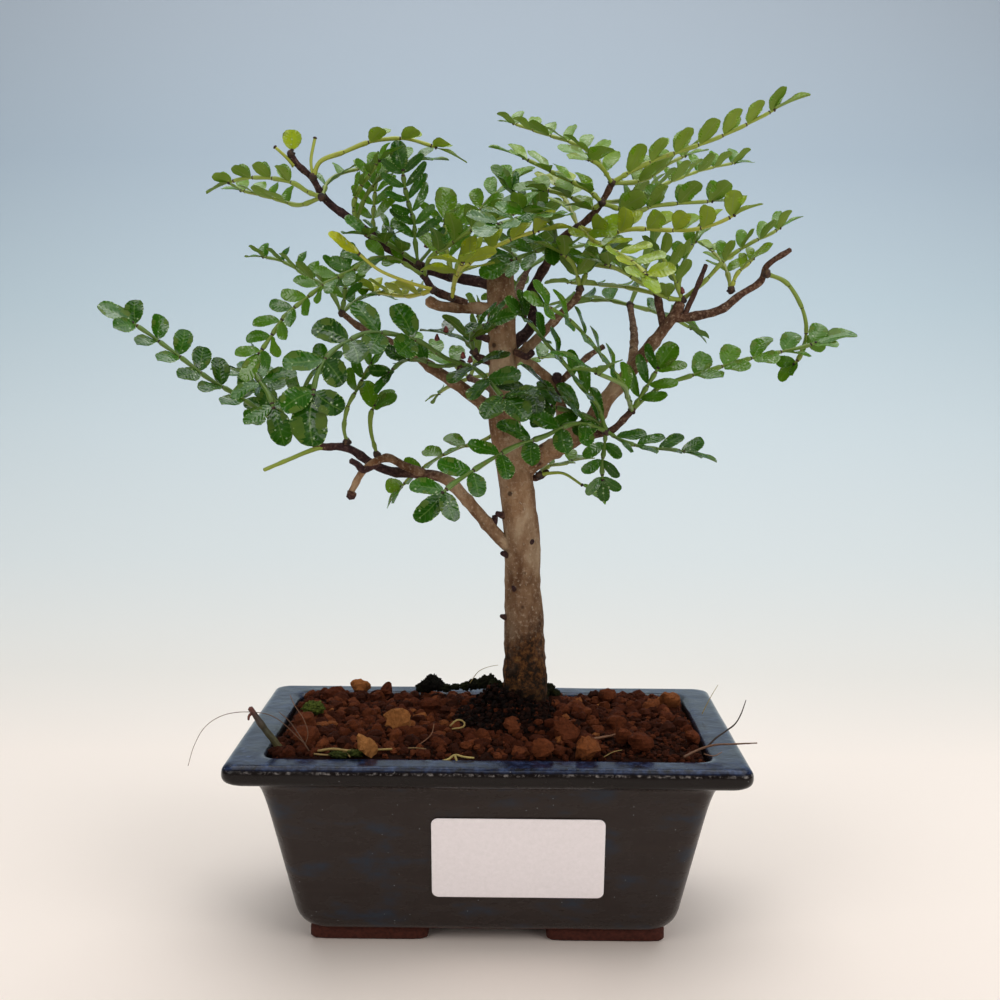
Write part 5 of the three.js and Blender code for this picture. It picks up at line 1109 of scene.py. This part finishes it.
# Finishes
class Finish:
    """A material in the making. Its methods add nodes, whose inputs are sockets or values, and return what
    they give: place is object coordinates in metres, and tint is the piece's own, from 0 to 1."""

    def __init__(self, name):
        self.material = bpy.data.materials.new(name)
        self.material.use_nodes = True
        self.tree = self.material.node_tree
        self.shader = next(node for node in self.tree.nodes if node.type == "BSDF_PRINCIPLED")
        self.place = self.add("TexCoord", {}).outputs["Object"]

    def link(self, node, key, value):
        """Links an input to a socket, or sets it to a value."""
        if isinstance(value, bpy.types.NodeSocket):
            self.tree.links.new(value, node.inputs[key])
        else:
            node.inputs[key].default_value = value

    def add(self, kind, values, **settings):
        """A node of that kind, with its settings and inputs."""
        made = self.tree.nodes.new("ShaderNode" + kind)
        for setting, value in settings.items():
            setattr(made, setting, value)
        for key, value in values.items():
            self.link(made, key, value)
        return made

    def face(self, color, rough, specular=None, normal=None, coat=None, coat_rough=None):
        """Gives the shader what it is told, and returns the material."""
        inputs = {"Base Color": color, "Roughness": rough, "Specular IOR Level": specular,
                  "Normal": normal, "Coat Weight": coat, "Coat Roughness": coat_rough}
        for key, value in inputs.items():
            if value is not None:
                self.link(self.shader, key, value)
        return self.material

    def sum(self, operation, *values):
        return self.add("Math", dict(enumerate(values)), operation=operation, use_clamp=False).outputs[0]

    def times(self, first, second):
        return self.sum("MULTIPLY", first, second)

    def plus(self, first, second):
        return self.sum("ADD", first, second)

    def parts(self, vector):
        """A vector's three numbers."""
        return self.add("SeparateXYZ", {0: vector}).outputs

    def band(self, value, low, high, start=0.0, end=1.0):
        """A smooth step from start to end as value goes from low to high."""
        return self.add("MapRange", {0: value, 1: low, 2: high, 3: start, 4: end},
                        interpolation_type="SMOOTHSTEP").outputs[0]

    def noise(self, place, scale, detail=4.0, rough=0.55):
        """Cloudy noise from 0 to 1."""
        values = {"Vector": place, "Scale": scale, "Detail": detail, "Roughness": rough}
        return self.add("TexNoise", values).outputs[0]

    def blend(self, share, first, second, way="MIX"):
        """One colour over another, each a socket or (red, green, blue)."""
        first, second = ((*color, 1.0) if isinstance(color, tuple) else color
                         for color in (first, second))
        return self.add("Mix", {0: share, 6: first, 7: second},
                        data_type="RGBA", blend_type=way, clamp_factor=True).outputs[2]

    def ramp(self, value, *stops):
        """Colours along a value, each stop (place, colour)."""
        made = self.add("ValToRGB", {0: value})
        while len(made.color_ramp.elements) < len(stops):
            made.color_ramp.elements.new(0.5)
        for element, (place, color) in zip(made.color_ramp.elements, stops):
            element.position = place
            element.color = (*color, 1)
        return made.outputs[0]

    def dots(self, place, scale, size, share):
        """Round dots of a size, in cells of a scale, of which only a share has one."""
        cells = self.add("TexVoronoi", {"Vector": place, "Scale": scale, "Randomness": 1.0})
        lot = self.add("SeparateColor", {0: cells.outputs["Color"]}).outputs[0]
        return self.times(self.band(cells.outputs["Distance"], size, size * 0.5),
                          self.band(lot, share, share * 0.96))

    def bump(self, height, strength, distance, under=None):
        """A bumped normal, over another if that is given."""
        values = {"Height": height, "Strength": strength, "Distance": distance}
        if under is not None:
            values["Normal"] = under
        return self.add("Bump", values).outputs[0]

    def stretched(self, place, scale):
        """Places scaled along the three axes."""
        return self.add("Mapping", {"Vector": place, "Scale": scale}).outputs[0]

    def tint(self):
        return self.add("Attribute", {}, attribute_name="tint").outputs["Fac"]

    def map_place(self):
        return self.add("UVMap", {}, uv_map="UVMap").outputs[0]

    def on_leaflet(self):
        """A leaflet's own places: along it, and how far from its midrib, from 0 to 1 at its edge."""
        along, across = self.parts(self.map_place())[:2]
        return along, self.sum("ABSOLUTE", self.sum("MULTIPLY_ADD", across, 2.0, -1.0))

    def glow_through(self, color, share):
        """Lets a share of the light through the blade."""
        light = self.add("BsdfTranslucent", {"Color": color})
        mixed = self.add("MixShader", {0: share, 1: self.shader.outputs[0], 2: light.outputs[0]})
        out = next(node for node in self.tree.nodes if node.type == "OUTPUT_MATERIAL")
        self.link(out, "Surface", mixed.outputs[0])


def glaze(pale_line_at):
    """Blue-black pot glaze: mottled blue on the rim, greyed in patches at its sides and back by a painted
    reflection of the bright backdrop, faint streaks and white specks on the walls, a pale broken line along
    the rim's upper edge that is partly wear and partly a painted highlight, and bare red clay at the foot."""
    look = Finish("pot_glaze")
    place = look.place
    _, depth, height = look.parts(place)
    behind = look.band(depth, -0.0445, -0.0405)
    facing = look.parts(look.add("NewGeometry", {}).outputs["Normal"])[2]
    on_rim = look.times(look.band(height, 0.0588, 0.0604), look.band(facing, 0.35, 0.8))
    cloud = look.noise(look.stretched(place, (1, 1, 2.4)), 55, 6, 0.62)
    grain = look.noise(place, 900, 5, 0.7)
    walls = look.ramp(cloud, (0.32, (0.022, 0.014, 0.012)), (0.54, (0.026, 0.0185, 0.0165)),
                      (0.66, (0.019, 0.024, 0.036)), (0.8, (0.025, 0.032, 0.039)))
    streaks = look.noise(look.stretched(place, (9, 9, 260)), 1.0, 4, 0.6)
    walls = look.blend(look.band(streaks, 0.5, 0.72, 0, 0.4), walls, (0.034, 0.023, 0.019))
    walls = look.blend(look.band(height, 0.0535, 0.056), walls, (0.006, 0.0035, 0.003))
    mottle = look.noise(place, 330, 6, 0.7)
    blue = look.ramp(mottle, (0.36, (0.005, 0.005, 0.008)), (0.5, (0.009, 0.015, 0.042)),
                     (0.66, (0.034, 0.055, 0.125)))
    # Painted reflection: the rim's sides and back are greyed in patches, standing in for the bright
    # backdrop mirrored in them
    patch = look.noise(place, 38, 3, 0.5)
    grey = look.times(look.band(patch, 0.42, 0.6, 0.2, 0.85), behind)
    blue = look.blend(grey, blue, (0.05, 0.06, 0.062))
    color = look.blend(on_rim, walls, blue)
    specks = look.dots(place, 640, 0.13, 0.12)
    color = look.blend(look.times(specks, 0.6), color, (0.3, 0.32, 0.34))
    pits = look.dots(place, 260, 0.2, 0.2)
    color = look.blend(look.times(pits, look.times(on_rim, 0.85)), color, (0.01, 0.007, 0.006))
    # Partly wear, partly a painted highlight: a pale broken line along the rim's upper outer edge
    length = look.parts(look.map_place())[0]
    line = look.times(look.band(length, pale_line_at - 0.6, pale_line_at - 0.2),
                      look.band(length, pale_line_at + 0.5, pale_line_at + 0.1))
    breakup = look.band(look.noise(place, 700, 6, 0.75), 0.48, 0.68)
    wear_and_highlight = look.times(line, breakup)
    color = look.blend(look.times(wear_and_highlight, 0.7), color, (0.32, 0.29, 0.28))
    drip = look.add("VectorMath", {0: look.stretched(place, (1, 1, 0.5)), 1: (-0.042, -0.051, 0.0248)},
                    operation="DISTANCE").outputs["Value"]
    color = look.blend(look.times(look.band(drip, 0.0024, 0.0008), breakup), color, (0.1, 0.03, 0.012))
    edge = look.plus(height, look.times(look.noise(place, 160, 3), 0.0016))
    bare = look.band(edge, 0.0066, 0.0058)
    clay = look.ramp(grain, (0.35, (0.04, 0.009, 0.006)), (0.65, (0.085, 0.022, 0.014)))
    color = look.blend(bare, color, clay)
    gloss = look.band(cloud, 0.3, 0.75, 0.22, 0.36)
    gloss = look.sum("SUBTRACT", gloss, look.times(on_rim, 0.08))
    gloss = look.plus(gloss, look.times(wear_and_highlight, 0.3))
    gloss = look.sum("MAXIMUM", gloss, look.times(bare, 0.75))
    ripples = look.bump(look.noise(place, 120, 3), 0.25, 0.0012)
    coat = look.sum("MULTIPLY_ADD", bare, -0.06, 0.06)
    return look.face(color, gloss, 0.2, look.bump(grain, 0.12, 0.0003, ripples), coat, 0.12)


def label_paper():
    """White sticker paper, faintly mottled."""
    look = Finish("label_paper")
    place = look.place
    fleck = look.noise(place, 900, 5, 0.7)
    color = look.ramp(fleck, (0.3, (0.88, 0.83, 0.85)), (0.7, (0.97, 0.91, 0.94)))
    return look.face(color, 0.5, normal=look.bump(fleck, 0.08, 0.0002))


def mesh_plastic():
    """Dark plastic netting with earth dust."""
    look = Finish("mesh_plastic")
    dust = look.noise(look.place, 300, 5, 0.7)
    color = look.ramp(dust, (0.4, (0.012, 0.012, 0.013)), (0.7, (0.06, 0.03, 0.02)))
    return look.face(color, look.band(dust, 0.3, 0.7, 0.4, 0.9))


def earth(name, scale):
    """Baked clay soil by tint, from black crumb over red brown to tan, with a rough dusty face."""
    look = Finish(name)
    place = look.place
    body = look.ramp(look.tint(), (0.0, (0.006, 0.0035, 0.003)), (0.15, (0.028, 0.008, 0.004)),
                     (0.4, (0.094, 0.022, 0.0085)), (0.62, (0.172, 0.047, 0.017)),
                     (0.85, (0.34, 0.12, 0.036)), (1.0, (0.42, 0.19, 0.06)))
    grit = look.noise(place, scale, 6, 0.75)
    shade = look.ramp(grit, (0.3, (0.35, 0.33, 0.33)), (0.55, (1, 1, 1)), (0.75, (1.5, 1.4, 1.3)))
    color = look.blend(0.75, body, shade, "MULTIPLY")
    pores = look.dots(place, scale * 1.3, 0.3, 0.35)
    rough = look.bump(grit, 1.0, 0.0013)
    pitted = look.bump(look.sum("SUBTRACT", 1.0, pores), 0.35, 0.0004, rough)
    return look.face(color, 0.95, 0.1, normal=pitted)


def soil_grain():
    return earth("soil_grain", 620)


def soil_crumb():
    return earth("soil_crumb", 480)


def moss():
    """Nearly black damp moss, green where it is alive."""
    look = Finish("moss")
    place = look.place
    speck = look.noise(place, 1400, 5, 0.7)
    dark = look.ramp(speck, (0.35, (0.004, 0.004, 0.003)), (0.6, (0.012, 0.01, 0.007)),
                     (0.75, (0.03, 0.016, 0.01)))
    live = look.ramp(speck, (0.35, (0.03, 0.045, 0.006)), (0.6, (0.13, 0.165, 0.025)),
                     (0.75, (0.26, 0.29, 0.07)))
    color = look.blend(look.tint(), dark, live)
    return look.face(color, 0.95, 0.15, normal=look.bump(speck, 1.0, 0.0012))


def bark():
    """Smooth tan bark with brown clouds and pale pores; by tint it goes over brown to purple black, and
    at the foot of the trunk it is dark, rusty and mossy."""
    look = Finish("bark")
    place = look.place
    height = look.parts(place)[2]
    tint = look.tint()
    cloud = look.noise(look.stretched(place, (1, 1, 0.45)), 150, 5, 0.6)
    fine = look.noise(place, 900, 5, 0.65)
    tan = look.ramp(cloud, (0.34, (0.105, 0.048, 0.022)), (0.5, (0.235, 0.138, 0.076)),
                    (0.66, (0.37, 0.265, 0.17)))
    brown = look.ramp(fine, (0.35, (0.045, 0.02, 0.013)), (0.65, (0.14, 0.07, 0.046)))
    black = look.ramp(fine, (0.35, (0.016, 0.007, 0.009)), (0.68, (0.06, 0.028, 0.03)))
    color = look.blend(look.band(tint, 0.1, 0.5), tan, brown)
    color = look.blend(look.band(tint, 0.5, 0.95), color, black)
    blotch = look.noise(look.stretched(place, (1, 1, 0.35)), 46, 5, 0.6)
    shade = look.ramp(blotch, (0.34, (0.62, 0.56, 0.5)), (0.5, (1, 1, 1)), (0.66, (1.3, 1.24, 1.16)))
    color = look.blend(1.0, color, shade, "MULTIPLY")
    flecks = look.times(look.band(fine, 0.5, 0.7, 0, 0.5), look.band(tint, 0.3, 0.7, 1, 0.15))
    color = look.blend(flecks, color, (0.46, 0.35, 0.25))
    length = look.map_place()
    pores = look.dots(look.stretched(length, (0.55, 0.9, 1)), 1.0, 0.26, 0.22)
    pores = look.times(pores, look.band(tint, 1.1, 0.3, 0.15, 0.7))
    color = look.blend(pores, color, (0.5, 0.38, 0.27))
    scars = look.dots(place, 210, 0.22, 0.16)
    color = look.blend(look.times(scars, 0.8), color, (0.028, 0.014, 0.009))
    ragged = look.plus(height, look.times(look.sum("SUBTRACT", cloud, 0.5), 0.05))
    foot = look.band(ragged, 0.098, 0.078)
    crust = look.ramp(look.noise(place, 330, 8, 0.8), (0.36, (0.004, 0.003, 0.0015)),
                      (0.47, (0.02, 0.009, 0.003)), (0.56, (0.12, 0.045, 0.012)),
                      (0.66, (0.22, 0.12, 0.035)), (0.74, (0.06, 0.07, 0.015)))
    damp = look.band(look.plus(height, look.times(blotch, 0.02)), 0.088, 0.078)
    crust = look.blend(look.times(damp, 0.7), crust, (0.006, 0.004, 0.002))
    color = look.blend(foot, color, crust)
    relief = look.plus(fine, look.times(pores, 1.2))
    relief = look.plus(relief, look.times(cloud, 1.5))
    strength = look.band(tint, 0.4, 0.8, 0.8, 0.3)
    return look.face(color, 0.8, 0.18, normal=look.bump(relief, strength, 0.0008))


def twig_bark():
    """Olive twig bark, dry brown at its cut and red at its tip."""
    look = Finish("twig_bark")
    place = look.place
    fine = look.noise(place, 700, 5, 0.65)
    body = look.ramp(look.tint(), (0.2, (0.07, 0.06, 0.018)), (0.5, (0.05, 0.045, 0.02)),
                     (0.8, (0.04, 0.022, 0.016)), (1.0, (0.12, 0.03, 0.02)))
    shade = look.ramp(fine, (0.3, (0.5, 0.5, 0.5)), (0.7, (1.5, 1.5, 1.4)))
    color = look.blend(0.7, body, shade, "MULTIPLY")
    return look.face(color, 0.6, normal=look.bump(fine, 0.4, 0.0004))


def fibre():
    """Root hair and straw, from nearly black over brown to pale straw by tint."""
    look = Finish("fibre")
    fine = look.noise(look.place, 500, 4, 0.6)
    body = look.ramp(look.tint(), (0.1, (0.02, 0.01, 0.006)), (0.4, (0.13, 0.06, 0.03)),
                     (0.6, (0.22, 0.1, 0.05)), (0.85, (0.3, 0.2, 0.06)), (1.0, (0.42, 0.32, 0.1)))
    shade = look.ramp(fine, (0.3, (0.5, 0.5, 0.5)), (0.7, (1.3, 1.3, 1.3)))
    color = look.blend(0.6, body, shade, "MULTIPLY")
    return look.face(color, 0.7)


def red_bud():
    """Small dark red scales."""
    look = Finish("red_bud")
    fine = look.noise(look.place, 900, 4, 0.6)
    return look.face(look.ramp(fine, (0.35, (0.06, 0.006, 0.006)), (0.65, (0.22, 0.03, 0.02))), 0.45)


def bud_scale():
    """Brown knot of old scales with green and rusty flecks."""
    look = Finish("bud_scale")
    fine = look.noise(look.place, 620, 5, 0.7)
    color = look.ramp(fine, (0.35, (0.01, 0.005, 0.004)), (0.52, (0.04, 0.017, 0.01)),
                      (0.62, (0.09, 0.04, 0.016)), (0.75, (0.15, 0.12, 0.035)))
    return look.face(color, 0.7, normal=look.bump(fine, 0.6, 0.0006))


def leaf_upper():
    """A leaf's glossy upper side: dark green when grown, over lime to yellow by tint, with a pale midrib,
    faint side veins, oil dots and pale glands in its scalloped edge."""
    look = Finish("leaf_upper")
    place = look.place
    along, off = look.on_leaflet()
    tint = look.tint()
    body = look.ramp(tint, (0.0, (0.005, 0.036, 0.001)), (0.25, (0.026, 0.122, 0.003)),
                     (0.5, (0.13, 0.285, 0.01)), (0.75, (0.28, 0.42, 0.018)), (1.0, (0.54, 0.56, 0.02)))
    patch = look.noise(place, 260, 3, 0.5)
    color = look.blend(look.band(patch, 0.4, 0.75, 0.0, 0.3), body, (0.08, 0.24, 0.014))
    veins = look.sum("SINE", look.sum("MULTIPLY_ADD", off, -9.0, look.times(along, 46.0)))
    color = look.blend(look.band(veins, 0.7, 1.0, 0.0, 0.16), color, (0.2, 0.32, 0.09))
    color = look.blend(look.band(off, 0.08, 0.02, 0.0, 0.4), color, (0.2, 0.33, 0.07))
    oil = look.dots(place, 700, 0.27, 0.4)
    color = look.blend(look.times(oil, 0.8), color, (0.46, 0.58, 0.32))
    notch = look.band(look.sum("SINE", look.times(along, 66.0)), 0.2, 0.8)
    edge = look.times(look.band(off, 0.84, 0.94, 0.0, 0.85), notch)
    color = look.blend(edge, color, (0.4, 0.55, 0.18))
    shine = look.noise(place, 130, 2, 0.5)
    ripple = look.bump(look.noise(place, 240, 2), 0.4, 0.0015)
    look.glow_through(look.blend(0.6, color, (0.3, 0.6, 0.02)), 0.24)
    rough, specular = look.band(patch, 0.3, 0.7, 0.1, 0.25), look.band(shine, 0.45, 0.62, 0.3, 1.0)
    return look.face(color, rough, specular, look.bump(veins, 0.12, 0.0003, ripple))


def leaf_under():
    """A leaf's duller underside: yellow green, with a raised pale midrib, a darker edge and clear dots."""
    look = Finish("leaf_under")
    place = look.place
    along, off = look.on_leaflet()
    body = look.ramp(look.tint(), (0.0, (0.1, 0.21, 0.02)), (0.3, (0.17, 0.32, 0.03)),
                     (0.6, (0.38, 0.51, 0.085)), (1.0, (0.56, 0.62, 0.07)))
    patch = look.noise(place, 300, 3, 0.5)
    color = look.blend(look.band(patch, 0.35, 0.7, 0.0, 0.3), body, (0.3, 0.38, 0.03))
    color = look.blend(look.band(off, 0.1, 0.03, 0.0, 0.6), color, (0.4, 0.48, 0.14))
    oil = look.dots(place, 900, 0.22, 0.35)
    color = look.blend(look.times(oil, 0.6), color, (0.55, 0.66, 0.2))
    color = look.blend(look.band(off, 0.86, 0.97, 0.0, 0.45), color, (0.07, 0.13, 0.03))
    look.glow_through(color, 0.6)
    return look.face(color, 0.5, normal=look.bump(patch, 0.2, 0.0005))


def leaf_rib():
    """A leaf's rib: green to yellow green, with rusty flecks."""
    look = Finish("leaf_rib")
    place = look.place
    fine = look.noise(place, 500, 4, 0.6)
    body = look.ramp(look.tint(), (0.0, (0.05, 0.115, 0.012)), (0.3, (0.12, 0.21, 0.02)),
                     (0.6, (0.28, 0.35, 0.04)), (1.0, (0.46, 0.46, 0.05)))
    color = look.blend(look.band(fine, 0.58, 0.7, 0.0, 0.4), body, (0.2, 0.1, 0.035))
    return look.face(color, 0.42, normal=look.bump(fine, 0.2, 0.0003))


# Floor and light
def make_stage():
    """A floor that sweeps up into a back wall: straight, a quarter circle of 1.6 m, straight. Its colour
    goes from cream over pale blue to blue by its elevation from the station, from -25 to 14 degrees; its
    darkening towards the top is painted fall-off of light."""
    turn = np.linspace(0, np.pi / 2, 32)
    y = np.concatenate([[-3.0, -1.0], 0.5 + 1.6 * np.sin(turn), [2.1]])
    z = np.concatenate([[0, 0], 1.6 - 1.6 * np.cos(turn), [4.0]])
    x = np.linspace(-4, 4, 9)
    points = np.stack([np.broadcast_to(x, (len(y), 9)), np.broadcast_to(y[:, None], (len(y), 9)),
                       np.broadcast_to(z[:, None], (len(y), 9))], axis=-1).reshape(-1, 3)
    row, column = np.meshgrid(np.arange(len(y) - 1), np.arange(8), indexing="ij")
    faces = np.stack([row * 9 + column, row * 9 + column + 1, (row + 1) * 9 + column + 1,
                      (row + 1) * 9 + column], axis=-1).reshape(-1, 4)
    mesh = bpy.data.meshes.new("floor")
    mesh.from_pydata(points.tolist(), [], faces.tolist())
    mesh.shade_smooth()
    floor = bpy.data.objects.new("floor", mesh)
    bpy.context.scene.collection.objects.link(floor)
    look = Finish("floor")
    _, depth, height = look.parts(look.place)
    level = look.sum("SUBTRACT", height, STATION[2] * MM)
    away = look.sum("SUBTRACT", depth, STATION[1] * MM)
    elevation = look.sum("ARCTAN2", level, away)
    rise = look.sum("MULTIPLY_ADD", elevation, 1 / 0.68, 0.44 / 0.68)
    # Partly painted light: besides turning bluer, the backdrop grows darker towards the top, standing in
    # for the light falling off
    sky = look.ramp(rise, (0.0, (0.93, 0.83, 0.765)), (0.21, (0.9, 0.815, 0.755)),
                    (0.3, (0.76, 0.735, 0.7)), (0.42, (0.665, 0.705, 0.715)), (0.56, (0.6, 0.675, 0.715)),
                    (0.7, (0.515, 0.615, 0.68)), (0.85, (0.46, 0.55, 0.64)), (1.0, (0.51, 0.58, 0.665)))
    mesh.materials.append(look.face(sky, 0.85, 0.1))


def make_light(name, place, aim, size, power, color):
    """A square soft light at a place, turned to an aim."""
    lamp = bpy.data.lights.new(name, "AREA")
    lamp.size = size
    lamp.energy = power
    lamp.color = color
    light = bpy.data.objects.new(name, lamp)
    bpy.context.scene.collection.objects.link(light)
    back = unit(np.array(place, float) - np.array(aim, float))
    right = unit(np.cross([0.01, 1.0, 0.02], back))
    turn = np.eye(4)
    turn[:3, 0], turn[:3, 1], turn[:3, 2], turn[:3, 3] = right, np.cross(back, right), back, place
    light.matrix_world = Matrix(turn.tolist())


def make_lights():
    """A broad light overhead, one from each front side, one on the back wall, and a pale surround."""
    make_light("overhead", (0.1, 0.25, 1.5), (0, 0, 0.15), 2.0, 22.5, (1.0, 1.0, 0.98))
    make_light("front_left", (-1.1, -1.2, 0.9), (0, 0, 0.12), 1.0, 8.2, (1.0, 0.98, 0.94))
    make_light("front_right", (1.2, -1.0, 0.8), (0, 0, 0.12), 1.0, 10.2, (1.0, 0.98, 0.95))
    make_light("back_wall", (0, 0.9, 1.9), (0, 2.2, 0.5), 1.4, 9.6, (0.95, 0.98, 1.0))
    world = bpy.data.worlds.new("surround")
    world.use_nodes = True
    sky = next(node for node in world.node_tree.nodes if node.type == "BACKGROUND")
    sky.inputs["Color"].default_value = (0.9, 0.94, 0.96, 1.0)
    sky.inputs["Strength"].default_value = 0.12
    bpy.context.scene.world = world
    bpy.context.scene.view_settings.view_transform = "Standard"


def finish_kept_nodes():
    """The netting keeps its solids and gets its own finish."""
    netting = mesh_plastic()
    for name in ("drain_mesh_left", "drain_mesh_right"):
        for held in frame["nodes"][name].material_slots:
            held.material = netting


make_camera()
make_pot()
make_label()
make_soil_bed()
make_soil_grains()
make_soil_crumbs()
make_wood()
make_foliage()
make_growth()
finish_kept_nodes()
make_stage()
make_lights()
